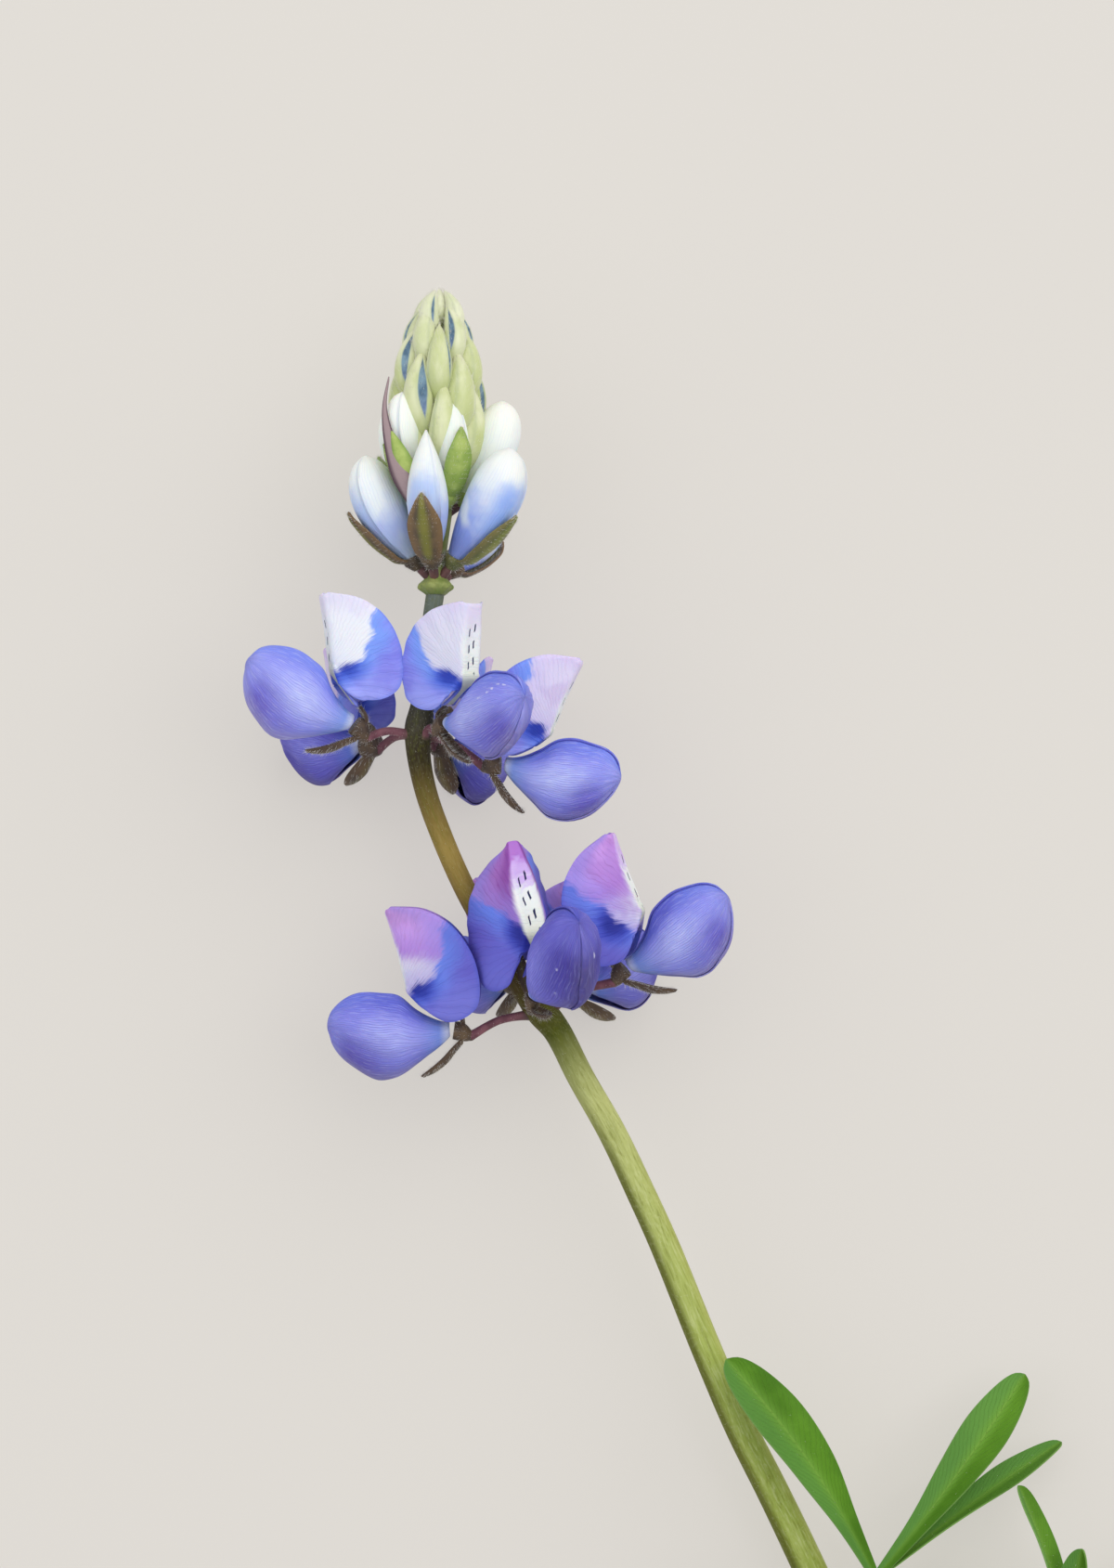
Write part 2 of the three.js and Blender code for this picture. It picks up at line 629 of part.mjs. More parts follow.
const finish = (color, roughness) => new MeshStandardMaterial({ color, roughness, metalness: 0 });
const finishes = {
  stem: finish('#7d8c3a', 0.6),
  leaf: finish('#4c8a3c', 0.55),
  wings: finish('#6a6ad6', 0.5),
  bannerUpper: finish('#c9c4ee', 0.5),
  bannerLower: finish('#b07fd6', 0.5),
  keel: finish('#c7c9ee', 0.5),
  calyx: finish('#6b5a48', 0.8),
  budGreen: finish('#b3b96c', 0.7),
  budPetal: finish('#b9c6ef', 0.5),
};

const spike = new Group();
spike.name = 'lupin_flower_spike';

function add(name, geometry, material) {
  const mesh = new Mesh(geometry, material);
  mesh.name = name;
  mesh.geometry.computeVertexNormals();
  spike.add(mesh);
}

add('stem', stem(), finishes.stem);

for (const values of leaves) {
  add(values.name, toGeometry(leaf(values)), finishes.leaf);
}

for (const flower of flowers) {
  const axes = flowerAxes(flower);
  const bannerFinish = flower.whorl === upperWhorl ? finishes.bannerUpper : finishes.bannerLower;
  add(`calyx_${flower.name}`, toGeometry(calyx(axes, flower.whorl)), finishes.calyx);
  add(`banner_${flower.name}`, banner(axes, flower.bannerSize, flower.nod), bannerFinish);
  add(`wings_${flower.name}`, wings(axes, flower.size), finishes.wings);
  add(`keel_${flower.name}`, toGeometry(toSolid(keel(axes, flower.size))), finishes.keel);
}

const petalSeats = [];
for (const bud of largeBuds) {
  const whole = toSolid(largePetal(bud, 0));
  const petal = petalSeats.reduce((body, seat) => body.subtract(seat), whole);
  petalSeats.push(toSolid(largePetal(bud, fittingGap)));
  add(`bud_petal_${bud.name}`, toGeometry(largest(petal)), finishes.budPetal);
}

add('bud_head', toGeometry(budHead(Manifold.union(petalSeats))), finishes.budGreen);

export default spike;
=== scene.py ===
import math

import bmesh
import bpy
import numpy as np
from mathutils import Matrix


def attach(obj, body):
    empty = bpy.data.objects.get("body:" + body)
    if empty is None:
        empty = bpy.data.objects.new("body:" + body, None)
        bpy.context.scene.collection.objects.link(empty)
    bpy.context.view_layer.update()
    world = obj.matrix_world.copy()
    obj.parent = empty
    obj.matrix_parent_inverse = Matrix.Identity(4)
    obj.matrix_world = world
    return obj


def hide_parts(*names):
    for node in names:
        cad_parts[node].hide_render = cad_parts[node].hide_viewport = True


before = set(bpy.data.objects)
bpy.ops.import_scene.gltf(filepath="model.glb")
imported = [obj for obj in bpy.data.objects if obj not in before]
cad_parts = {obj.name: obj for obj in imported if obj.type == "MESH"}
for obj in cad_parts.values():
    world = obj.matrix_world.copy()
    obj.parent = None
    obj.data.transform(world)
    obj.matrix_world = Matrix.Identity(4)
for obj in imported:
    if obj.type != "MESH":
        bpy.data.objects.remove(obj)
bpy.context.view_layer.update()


# The stem: a bent, slightly ribbed green shoot with fine hairs. It is olive brown between the
# whorls and grey green below the bud head, and its lower end is cut square and shows pale pith.
# Everything in this script is worked out in millimetres and put into the mesh in metres.

# points of the middle line, each with the radius there
stem_line = np.array([
    [27.2, -81.6, 1.6, 1.75], [25.4, -78.2, 1.6, 1.75], [22.6, -72.2, 2.5, 1.75],
    [18.2, -63.4, 4.0, 1.7], [13.0, -52.6, 5.5, 1.68], [8.6, -42.9, 6.9, 1.64],
    [5.4, -36.2, 7.9, 1.6], [2.2, -29.8, 8.9, 1.56], [-1.1, -22.2, 9.9, 1.5],
    [-5.5, -11.3, 11.2, 1.45], [-7.8, -6.2, 11.9, 1.42], [-10.6, -0.3, 12.7, 1.38],
    [-13.7, 5.2, 13.4, 1.34], [-16.0, 9.7, 13.9, 1.36], [-17.6, 11.7, 14.1, 1.5],
    [-19.3, 14.0, 14.2, 1.25], [-22.4, 19.0, 14.2, 1.08], [-24.9, 23.4, 14.2, 1.06],
    [-27.3, 28.8, 14.2, 1.06], [-28.9, 33.4, 14.2, 1.08], [-29.6, 37.4, 14.2, 1.2],
    [-29.5, 39.4, 14.2, 1.4], [-29.2, 41.5, 14.3, 1.15], [-28.7, 45.6, 14.4, 0.95],
    [-28.3, 49.8, 14.6, 0.88], [-27.87, 52.75, 14.7, 0.9],
])
stem_rows = 420
stem_sides = 30
stem_hairs = 1300
cut_shares = [0.3, 0.55, 0.75, 0.9]     # rings on the cut end, as shares of its radius
millimetre = 0.001                      # in metres
hair_sink = 0.05                        # how deep a hair's root lies
odd_way = [0.31, 0.52, 0.79]            # a direction that no hair runs along
weld_gap = 2e-7                         # points closer than this are one, in metres
sharp_angle = 62                        # edges that bend more than this look sharp


def smooth_line(points, at):
    """Values on a smooth line through the given points: between two points it is the cubic
    whose slopes at both are those of the parabola through each and its neighbours, with the
    points spaced by the root of their distance. The end points are mirrored outwards. At
    gives the places counted in points, or how many even ones there are."""
    points = np.asarray(points, float)
    at = np.linspace(0, len(points) - 1, at) if isinstance(at, int) else at
    every = np.vstack([2 * points[0] - points[1], points, 2 * points[-1] - points[-2]])
    gap = np.sqrt(np.maximum(np.linalg.norm(np.diff(every, axis=0), axis=1), 1e-4))
    step = np.clip(np.floor(at).astype(int), 0, len(points) - 2)
    t = (at - step)[..., None]
    before, start, end, after = (every[step + k] for k in range(4))
    g0, g1, g2 = (gap[step + k][..., None] for k in range(3))
    slope_0 = ((start - before) / g0 - (end - before) / (g0 + g1) + (end - start) / g1) * g1
    slope_1 = ((end - start) / g1 - (after - start) / (g1 + g2) + (after - end) / g2) * g1
    return ((2 * t**3 - 3 * t**2 + 1) * start + (t**3 - 2 * t**2 + t) * slope_0
            + (3 * t**2 - 2 * t**3) * end + (t**3 - t**2) * slope_1)


def even_shares(points, shares):
    """Values on the same smooth line at shares of its length, or at that many even ones."""
    shares = np.linspace(0, 1, shares) if isinstance(shares, int) else shares
    at = np.linspace(0, len(points) - 1, 60 * len(points))
    steps = np.diff(smooth_line(points, at), axis=0)
    run = np.concatenate([[0], np.cumsum(np.linalg.norm(steps, axis=1))])
    return smooth_line(points, np.interp(shares * run[-1], run, at))


def limit(values):
    """Values kept between 0 and 1."""
    return np.clip(values, 0, 1)


def unit(vectors):
    """Each vector divided by its length."""
    return vectors / np.maximum(np.linalg.norm(vectors, axis=-1, keepdims=True), 1e-9)


def turned(first, second, degrees):
    """The first direction turned towards the second, which is square to it: the first times
    the cosine plus the second times the sine."""
    angle = np.radians(degrees)
    return np.asarray(first) * np.cos(angle) + np.asarray(second) * np.sin(angle)


def normals_of(grid, around=False):
    """Unit normals of a grid: the step to the next column crossed with the step to the next
    row. Around says that the last column meets the first."""
    across = np.roll(grid, -1, 1) - np.roll(grid, 1, 1) if around else np.gradient(grid, axis=1)
    return unit(np.cross(across, np.gradient(grid, axis=0)))


def ring_angles(sides):
    """Even angles round a ring, from half a step on."""
    return 2 * np.pi * (np.arange(sides) + 0.5) / sides


def shell(grid, fields):
    """A closed shell from a grid whose columns run round it and whose end rows are drawn
    together: its points, its four-cornered faces, values at the points and a finish."""
    shape = grid.shape[:2]
    index = np.arange(shape[0] * shape[1]).reshape(shape)
    right = np.roll(index, -1, 1)
    faces = np.stack([index[:-1], right[:-1], right[1:], index[1:]], -1).reshape(-1, 4)
    values = {name: np.broadcast_to(value, shape).ravel() for name, value in fields.items()}
    return {"points": grid.reshape(-1, 3), "faces": faces, "values": values, "finish": 0}


def pad_rows(values):
    """Values by row with the first and the last row doubled; a single row stays as it is."""
    values = np.asarray(values, float)
    if values.ndim == 0 or len(values) == 1:
        return values
    return np.concatenate([values[:1], values, values[-1:]])


def tube(middles, radii, sides, fields, hint=(0, 0, 1), depths=None, swell=1.0):
    """A closed round body along a line: each ring is the middle plus the radius times cosine
    and sine of the angle, along two directions square to the line. Depths is the second
    radius of an oval, and swell multiplies both by row and angle. The ends draw in."""
    along = unit(np.gradient(middles, axis=0))
    across = unit(np.cross(hint, along))
    out = np.cross(along, across)
    angle = ring_angles(sides)
    depths = radii if depths is None else depths
    grid = pad_rows(middles[:, None]
                    + across[:, None] * (radii[:, None] * np.cos(angle) * swell)[..., None]
                    + out[:, None] * (depths[:, None] * np.sin(angle) * swell)[..., None])
    grid[[0, -1]] = middles[[0, -1], None]
    fields = {"along": np.linspace(0, 1, len(radii))[:, None], **fields}
    return shell(grid, {name: pad_rows(value) for name, value in fields.items()}), grid


def hair_coat(grid, count, length, lean, radius, seed, around=True):
    """Thin three-sided spikes at random places of a grid. A hair points along the surface
    normal plus lean times the direction of the rows plus a little chance, and its length
    varies by a third. Its root has three corners round it, and its sides meet at the tip.
    Points below the surface the spike lies on are lifted just above it."""
    chance = np.random.default_rng(seed)
    row = chance.integers(1, len(grid) - 1, count)
    column = chance.integers(0, grid.shape[1] - 1, count)
    slide = chance.random((count, 1))
    normals = normals_of(grid, around)[row, column]
    along = unit(np.gradient(grid, axis=0))[row, column]
    roots = grid[row, column] * (1 - slide) + grid[row, column + 1] * slide - hair_sink * normals
    out = unit(normals + lean * along + chance.normal(0, 0.22, (count, 3)))
    tips = roots + out * (length * (1 + chance.uniform(-0.35, 0.35, count)))[:, None]
    side = unit(np.cross(out, odd_way))[:, None]
    angle = (2 * np.pi * np.arange(3) / 3)[:, None]
    other = np.cross(out[:, None], side)
    ring = roots[:, None] + radius * (side * np.cos(angle) + other * np.sin(angle))
    points = np.concatenate([ring, tips[:, None]], 1).reshape(-1, 3)
    points[:, 2] = np.maximum(points[:, 2], 0.01)
    corners = np.array([[0, 1, 3], [1, 2, 3], [2, 0, 3], [0, 2, 1]])
    faces = (corners + 4 * np.arange(count)[:, None, None]).reshape(-1, 3)
    return {"points": points, "faces": faces, "values": {}, "finish": 1}


def put(name, data):
    """A new object in the scene, at the origin."""
    made = bpy.data.objects.new(name, data)
    bpy.context.scene.collection.objects.link(made)
    return made


def make_piece(name, shells, finishes, node):
    """Joins shells into one mesh at the origin, welds the points that coincide, and lets the
    piece ride on the spike in place of its node."""
    starts = np.cumsum([0] + [len(s["points"]) for s in shells])
    points = np.concatenate([s["points"] for s in shells]) * millimetre
    corners = np.concatenate([(s["faces"] + at).ravel() for s, at in zip(shells, starts)])
    sizes = np.concatenate([np.full(len(s["faces"]), s["faces"].shape[1]) for s in shells])
    worn = np.concatenate([np.full(len(s["faces"]), s["finish"]) for s in shells])
    mesh = bpy.data.meshes.new(name)
    mesh.vertices.add(len(points))
    mesh.vertices.foreach_set("co", points.astype(np.float32).ravel())
    mesh.loops.add(len(corners))
    mesh.loops.foreach_set("vertex_index", corners.astype(np.int32))
    mesh.polygons.add(len(sizes))
    mesh.polygons.foreach_set("loop_start", (np.cumsum(sizes) - sizes).astype(np.int32))
    for finish in finishes:
        mesh.materials.append(finish)
    mesh.polygons.foreach_set("material_index", worn.astype(np.int32))
    mesh.update(calc_edges=True)
    for field in sorted({name for s in shells for name in s["values"]}):
        values = [s["values"].get(field, np.zeros(len(s["points"]))) for s in shells]
        layer = mesh.attributes.new(field, "FLOAT", "POINT")
        layer.data.foreach_set("value", np.concatenate(values).astype(np.float32))
    work = bmesh.new()
    work.from_mesh(mesh)
    bmesh.ops.remove_doubles(work, verts=work.verts, dist=weld_gap)
    bmesh.ops.dissolve_degenerate(work, edges=work.edges, dist=1e-8)
    work.to_mesh(mesh)
    work.free()
    mesh.polygons.foreach_set("use_smooth", np.ones(len(mesh.polygons), bool))
    mesh.set_sharp_from_angle(angle=math.radians(sharp_angle))
    piece = put(name, mesh)
    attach(piece, "root")
    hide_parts(node)


def colour(code):
    """A colour code of six hexadecimal digits as light values."""
    parts = [int(code[i:i + 2], 16) / 255 for i in (0, 2, 4)]
    return *(p / 12.92 if p <= 0.04045 else ((p + 0.055) / 1.055) ** 2.4 for p in parts), 1.0


def add_node(tree, kind, inputs=None, out=0, **settings):
    """An output of a new shader node with its settings; each input is a number, a colour
    code or another output."""
    made = tree.nodes.new("ShaderNode" + kind)
    for name, value in settings.items():
        setattr(made, name, value)
    for name, value in (inputs or {}).items():
        if isinstance(value, Output):
            tree.links.new(value.socket, made.inputs[name])
        else:
            made.inputs[name].default_value = colour(value) if isinstance(value, str) else value
    return Output(made.outputs[out])


def math_sum(operation):
    """The method that puts an output and another value through a Math node."""
    return lambda output, other=0.0: output.math(operation, output, other)


class Output:
    """An output of a shader node; its sums with numbers and other outputs are Math nodes."""

    def __init__(self, socket):
        """Keeps the socket."""
        self.socket = socket

    def node(self, kind, inputs, out=0, **settings):
        """A node in the same tree."""
        return add_node(self.socket.id_data, kind, inputs, out, **settings)

    def math(self, operation, first, second=0.0):
        """The result of a Math node."""
        return self.node("Math", {0: first, 1: second}, operation=operation)

    __add__, __sub__, __mul__, __truediv__, __abs__ = map(
        math_sum, ("ADD", "SUBTRACT", "MULTIPLY", "DIVIDE", "ABSOLUTE"))

    def __rsub__(self, other):
        """A number less this value."""
        return self.math("SUBTRACT", other, self)

    def beat(self):
        """How far the value is from the nearest whole number."""
        return self.math("PINGPONG", self, 0.5)

    def rise(self, low, high):
        """0 below low and 1 above high, with a soft step between; high may be the lower one."""
        return self.node("MapRange", {"Value": self, "From Min": low, "From Max": high},
                         interpolation_type="SMOOTHSTEP")

    def blend(self, first, second):
        """The first colour giving way to the second by this share."""
        return self.node("Mix", {0: self, 6: first, 7: second}, 2,
                         data_type="RGBA", clamp_factor=True)

    def steps(self, *steps):
        """A colour by this value, from (position, colour code) steps."""
        made = self.node("ValToRGB", {"Fac": self})
        elements = made.socket.node.color_ramp.elements
        while len(elements) < len(steps):
            elements.new(0.5)
        for element, (place, code) in zip(elements, steps):
            element.position = place
            element.color = colour(code)
        return made


def coats(base, rows, by=None):
    """A base colour under coats. Each row is a share and a colour, or a share and two colours
    between which the value called by chooses."""
    for share, *tints in rows:
        base = share.blend(base, by.blend(*tints) if len(tints) == 2 else tints[0])
    return base


def fields(tree, names):
    """Values stored at the points of the piece."""
    return [add_node(tree, "Attribute", out="Fac", attribute_name=n) for n in names.split()]


def noise(tree, scale, detail=3.0, stretch=(1, 1, 1)):
    """Soft noise in the piece's own place, in patches of about 1 / scale metres."""
    place = add_node(tree, "TexCoord", out="Object")
    mapped = add_node(tree, "Mapping", {"Vector": place, "Scale": stretch})
    return mapped.node("TexNoise", {"Vector": mapped, "Scale": scale, "Detail": detail})


def flat_noise(x, y, scale, detail, distortion=0.0):
    """Soft noise on the plane of two values."""
    place = x.node("CombineXYZ", {"X": x, "Y": y})
    return x.node("TexNoise", {"Vector": place, "Scale": scale, "Detail": detail,
                               "Distortion": distortion})


def start_finish(name, roughness, sockets):
    """A material with a Principled shader, and its tree; sockets are constants set on the
    shader itself."""
    material = bpy.data.materials.new(name)
    material.use_nodes = True
    shader = material.node_tree.nodes["Principled BSDF"]
    for socket, value in {"Roughness": roughness, **sockets}.items():
        shader.inputs[socket].default_value = value
    return material, material.node_tree


def end_finish(material, base, height=None, depth=0.0, strength=1.0):
    """Gives a material its base colour, and small bumps from a height between 0 and 1, with
    their depth in metres."""
    wanted = {"Base Color": base}
    if height:
        wanted["Normal"] = height.node("Bump", {"Height": height, "Distance": depth,
                                                "Strength": strength})
    for name, value in wanted.items():
        socket = material.node_tree.nodes["Principled BSDF"].inputs[name]
        material.node_tree.links.new(value.socket, socket)
    return material


def stem_finish():
    """Green to olive brown to grey green along the stem, in fine lengthwise streaks, with
    painted shade below the upper whorl and down one side, and painted light down the other.
    """
    skin, tree = start_finish("stem_skin", 0.55, {"Specular IOR Level": 0.15})
    at, turn, pith = fields(tree, "height turn pith")
    streaks = flat_noise(turn * 9.0, at * 26.0, 1.0, 4.0)
    mottle = flat_noise(turn * 24.0, at * 130.0, 1.0, 3.0, 0.6)
    lower = at.rise(0.5, 0.45) * 0.8 + 0.2
    # the near black brown at 0.785, just below the upper whorl, is painted shade under its flowers
    base = coats(at.steps(
        (0.0, "8e9c3c"), (0.3, "a0ae54"), (0.46, "b4b872"), (0.52, "464c06"), (0.6, "54421f"),
        (0.71, "957c3c"), (0.785, "2e220a"), (0.87, "48443a"), (0.97, "667068")), [
        (streaks.rise(0.45, 0.75) * (lower * 0.25), "c6cb88"),
        (streaks.rise(0.52, 0.3) * 0.3, "626818"),
        (mottle.rise(0.5, 0.7) * (lower * 0.4), "cdd296"),
        (mottle.rise(0.46, 0.3) * 0.4, "6a6c1e"),
        # painted shade down the left side of the lower stem, and painted light in a paler tan down its
        # right side
        (turn.rise(0.6, 0.82) * at.rise(0.5, 0.4) * 0.85, "545808"),
        (turn.rise(0.42, 0.2) * at.rise(0.46, 0.36) * 0.25, "a8a850"),
        (noise(tree, 2600).rise(0.52, 0.7) * (lower * 0.1), "d4d6a8"),
        (pith.rise(1.1, 1.0), pith.steps(
            (0.0, "dfe3c0"), (0.55, "d3dbab"), (0.78, "9cae62"), (0.9, "7f9440"))),
    ])
    return end_finish(skin, base, streaks * 0.8 + mottle, 0.00007, 0.8)


def hair_finish(name, code):
    """Pale, shining plant hair, whiter towards some tufts."""
    hair, tree = start_finish(name, 0.4, {"Specular IOR Level": 0.6})
    return end_finish(hair, noise(tree, 900).blend(code, "f3f1ea"))


silver_hair = hair_finish("silver_hair", "d6d2c8")
green_hair = hair_finish("stem_hair", "c6cc9a")

stem_points = smooth_line(stem_line, stem_rows)
stem_height = np.linspace(0, 1, stem_rows)
bark_at = ring_angles(stem_sides)
bark = (1 + 0.012 * np.cos(5 * bark_at + 0.4)
        + 0.008 * np.cos(11 * bark_at + 9 * stem_height[:, None]))
stem_grid = tube(stem_points[:, :3], stem_points[:, 3], stem_sides, {}, swell=bark)[1]
stem_grid[..., 2] = np.maximum(stem_grid[..., 2], 0)       # the cut end rests flat
cut_middle = stem_points[0, :3]
cut_face = cut_middle + (stem_grid[1] - cut_middle) * np.array(cut_shares)[:, None, None]
stem_grid = np.concatenate([stem_grid[:1], cut_face, stem_grid[1:]])
stem_values = {
    "height": np.concatenate([np.zeros(5), stem_height, [1]])[:, None],
    "turn": np.abs(np.arange(stem_sides) / stem_sides * 2 - 1),
    "pith": np.concatenate([[0, *cut_shares, 1], np.full(stem_rows, 1.5)])[:, None],
}
stem_coat = hair_coat(stem_grid[6:], stem_hairs, 0.34, 0.5, 0.01, seed=11)
make_piece("stem_shoot", [shell(stem_grid, stem_values), stem_coat],
           [stem_finish(), green_hair], "stem")


# The leaves: palmate, with leaflets that join at the tip of a thin leaf stalk. Each leaflet is
# a thin fleshy blade, folded a little along its midrib, smooth above and paler below.

# each station is a share of the length and the radius or share of the half width there
leaf_stalk_radii = np.array([
    [0, 0.45], [0.08, 0.85], [0.2, 0.62], [0.4, 0.55], [0.8, 0.55], [1, 0.7],
])
leaflet_outline = np.array([
    [0.02, 0.2], [0.25, 0.46], [0.5, 0.84], [0.74, 1.0], [0.92, 0.68], [0.98, 0.36], [1.0, 0.03],
])
leaf_stalk_rows = 50
leaf_stalk_sunk = 0.75      # how far the foot of the leaf stalk runs towards the stem's middle
leaflet_rows = 56
leaflet_columns = 25
leaf_stalk_hairs = 160, 0.35, 0.4, 0.011        # number, length, lean and radius
margin_hairs = 26, 0.24, 0.9, 0.008

# foot and tip of the leaf stalk, then for each leaflet its compass direction, climb, length,
# half width, roll and bow
leaves = {
    "leaf_1": ([20.6, -63.4, 4.8], [15.4, -44.5, 10.0], [
        [124, 8, 26.8, 2.7, 25, -0.04], [52.5, -12, 25.4, 2.3, -20, -0.05],
        [34, -18, 24.0, 1.65, -50, -0.05], [-14, -18, 21, 2.2, -30, 0.05],
        [-60, -12, 20, 2.1, 10, 0.05], [-122, 12, 20, 2.1, 30, 0.05], [-172, 18, 20, 2.2, 40, 0.05],
    ]),
    "leaf_2": ([26.0, -74.0, 3.0], [35.2, -53.0, 8.0], [
        [108, 4, 18.6, 1.9, 61, 0.04], [88, 20, 12.5, 1.7, -45, 0.04], [44, -14, 14, 1.9, -20, 0.04],
        [-5, -16, 12.3, 1.8, -10, 0.04], [-60, -10, 15, 1.8, 10, 0.04], [-115, 8, 15, 1.8, 20, 0.04],
        [160, 24, 13, 1.8, 40, 0.04],
    ]),
}


def blade(middle, thickness, fields):
    """A thin closed blade about a grid of middle points: one face lies half the thickness
    along the normals and the other half behind, and the end rows have no thickness."""
    shape = middle.shape[:2]
    half = np.broadcast_to(thickness, shape) / 2
    half[[0, -1]] = 0
    offset = normals_of(middle) * half[..., None]
    grid = np.concatenate([middle + offset, (middle - offset)[:, ::-1]], 1)
    values = {"under": np.repeat([1.0, 0.0], shape[1])}
    for name, value in fields.items():
        spread = np.broadcast_to(value, shape)
        values[name] = np.concatenate([spread, spread[:, ::-1]], 1)
    return shell(grid, values), grid


def leaflet(hub, compass, climb, length, half_width, roll, bow, seed):
    """One leaflet: the middle line runs from the hub along compass and climb and bows by a
    sine; across it each point lies share * half width away, raised by the fold on both sides
    of the midrib and by a slow wave of the margin."""
    flat = turned([1, 0, 0], [0, 1, 0], compass)
    along = turned(flat, [0, 0, 1], climb)
    level = np.cross([0, 0, 1], flat)
    across = turned(level, np.cross(along, level), roll)
    normal = np.cross(along, across)
    outline = even_shares(leaflet_outline * [length, half_width], leaflet_rows)
    t = outline[:, :1] / length
    half = np.maximum(outline[:, 1:], 0.02)
    v = np.linspace(-1, 1, leaflet_columns)
    fold = 0.42 * half * (np.sqrt(v**2 + 0.02) - 0.14)
    wave = 0.10 * half * v**2 * np.sin(9 * t + seed + 2.2 * np.sign(v))
    bend = length * np.sin(np.pi * t)
    middle = (hub + (t * length)[..., None] * along
              + (abs(bow) * bend + fold + wave)[..., None] * normal
              + (0.6 * bow * bend + v * half)[..., None] * across)
    thickness = 0.17 + 0.3 * np.exp(-(v * half / 0.22) ** 2) * (1 - 0.7 * t)
    return blade(middle, thickness, {"across": v, "along": t, "shade": seed % 1.0})


def leaf_finish():
    """Mid green with a paler midrib and side veins that run forward to the margin, and one
    half of each leaflet lighter as painted light on its fold.
    """
    skin, tree = start_finish("leaf_skin", 0.55, {"Specular IOR Level": 0.14})
    across, along, shade, under, foot = fields(tree, "across along shade under foot")
    away = abs(across)
    vein = (along * 26.0 - away * 5.0 + noise(tree, 500, 2) * 1.2).beat().rise(0.10, 0.0)
    rib = away.rise(0.09, 0.02)
    base = coats(noise(tree, 160, 4).rise(0.35, 0.68).blend("477414", "5c8c22"), [
        (shade.rise(0.2, 0.9) * 0.4, "4d7f20"),
        (away.rise(0.6, 1.0) * 0.3, "457420"),
        # one half of each leaflet lighter than the other: painted light on one side of the fold
        (across.rise(-0.3, 0.4) * 0.6, "5d8f44"),
        (away.rise(0.5, 0.0) * 0.4, "74a23a"),
        (vein * 0.16, "7fa650"),
        (rib * 0.25, "86ac48"),
        (under * 0.5, "8fae6a"),
        (away.rise(0.965, 1.0) * 0.3, "7fa258"),
        (foot * 0.9, "92a040"),
    ])
    return end_finish(skin, base, noise(tree, 1500) - (vein + rib) * 0.7, 0.00007, 0.7)


leaf_skin = leaf_finish()
for name, (foot, hub, blades) in leaves.items():
    foot, hub = np.array(foot), np.array(hub)
    nearest = stem_points[np.linalg.norm(stem_points[:, :3] - foot, axis=1).argmin(), :3]
    foot = foot + leaf_stalk_sunk * (nearest - foot)
    stalk_line = even_shares([foot, (foot + hub) / 2 + [0.8, 0, 0.6], hub], leaf_stalk_rows)
    share = np.linspace(0, 1, leaf_stalk_rows)
    stalk, stalk_grid = tube(
        stalk_line, np.interp(share, *leaf_stalk_radii.T), 16,
        {"across": 0.5, "under": 0.4, "foot": np.exp(-(share / 0.3) ** 2)[:, None]})
    shells = [stalk, hair_coat(stalk_grid, *leaf_stalk_hairs, seed=5)]
    for number, values in enumerate(blades):
        body, grid = leaflet(hub, *values, seed=6 + 0.37 * number)
        margins = grid[:, [0, leaflet_columns - 1]]
        shells += [body, hair_coat(margins, *margin_hairs, number, around=False)]
    make_piece(f"green_{name}", shells, [leaf_skin, silver_hair], name)


# The open flowers: two whorls of five pea flowers. Each hangs on a thin dark pedicel with a
# two-lipped, hairy calyx, and has a banner petal folded back, two wing petals that hold
# together in front, and a pale keel between them. The upper whorl is younger and paler.

# the place of each whorl on the stem, the stem's lean in degrees and its radius there, and the
# slot of the banners
upper_whorl = {"node": [-29.5, 38.9, 14.2], "lean": 0, "radius": 1.4, "banner": "banner_white"}
lower_whorl = {"node": [-17.6, 11.8, 14.1], "lean": 17, "radius": 1.5, "banner": "banner_pink"}

# whorl, turn, climb, seat, size, banner size, nod of the banner, sway
flowers = {
    "upper_1": (upper_whorl, 165, 28, [-6.4, 0.8, 1.6], 1.0, 0.89, 21, 0),
    "upper_2": (upper_whorl, 49, 10, [2.7, 0.9, 3.6], 0.98, 0.89, 0, 0),
    "upper_3": (upper_whorl, 6, -9, [8.1, -3.1, 0.7], 0.96, 0.98, 0, 0),
    "upper_4": (upper_whorl, 222, 2, [-5.3, -1.1, -4.4], 0.9, 0.8, 0, 0),
    "upper_5": (upper_whorl, 300, -13, [2.4, -1.3, -4.174], 0.92, 0.85, 0, 0),
    "lower_1": (lower_whorl, 180, 17, [-8.85, 0.55, 0], 1.0, 1.0, 0, 0),
    "lower_2": (lower_whorl, 63, 27, [-0.3, 1.6, 4.5], 1.1, 0.97, 0, -8),
    "lower_3": (lower_whorl, 10, 16, [9.2, 1.5, 1.6], 1.0, 0.98, -3, 0),
    "lower_4": (lower_whorl, 236, 18, [-2.1, 3.4, -4.785], 0.92, 0.8, 0, 0),
    "lower_5": (lower_whorl, 316, 8, [4.2, 0.6, -5.429], 0.95, 0.82, 0, 0),
}

# the border between the pale patch and the blue on a banner, seen from the side
patch_border = [
    [4.3, 3.2], [3.5, 4.45], [2.75, 4.8], [1.75, 5.4], [1.3, 6.6], [1.0, 7.9], [1.3, 9.2],
    [1.0, 10.6], [0.6, 12.4],
]
ripest_border = [[4.9, 3.0], [4.4, 5.0], [3.7, 6.9], [2.2, 8.8], [0.55, 10.6], [-1.0, 12.6]]
right_border = [[3.1, 2.0], [2.5, 3.2], [1.9, 5.6], [1.2, 8.0], [0.35, 10.5], [-0.3, 12.4]]
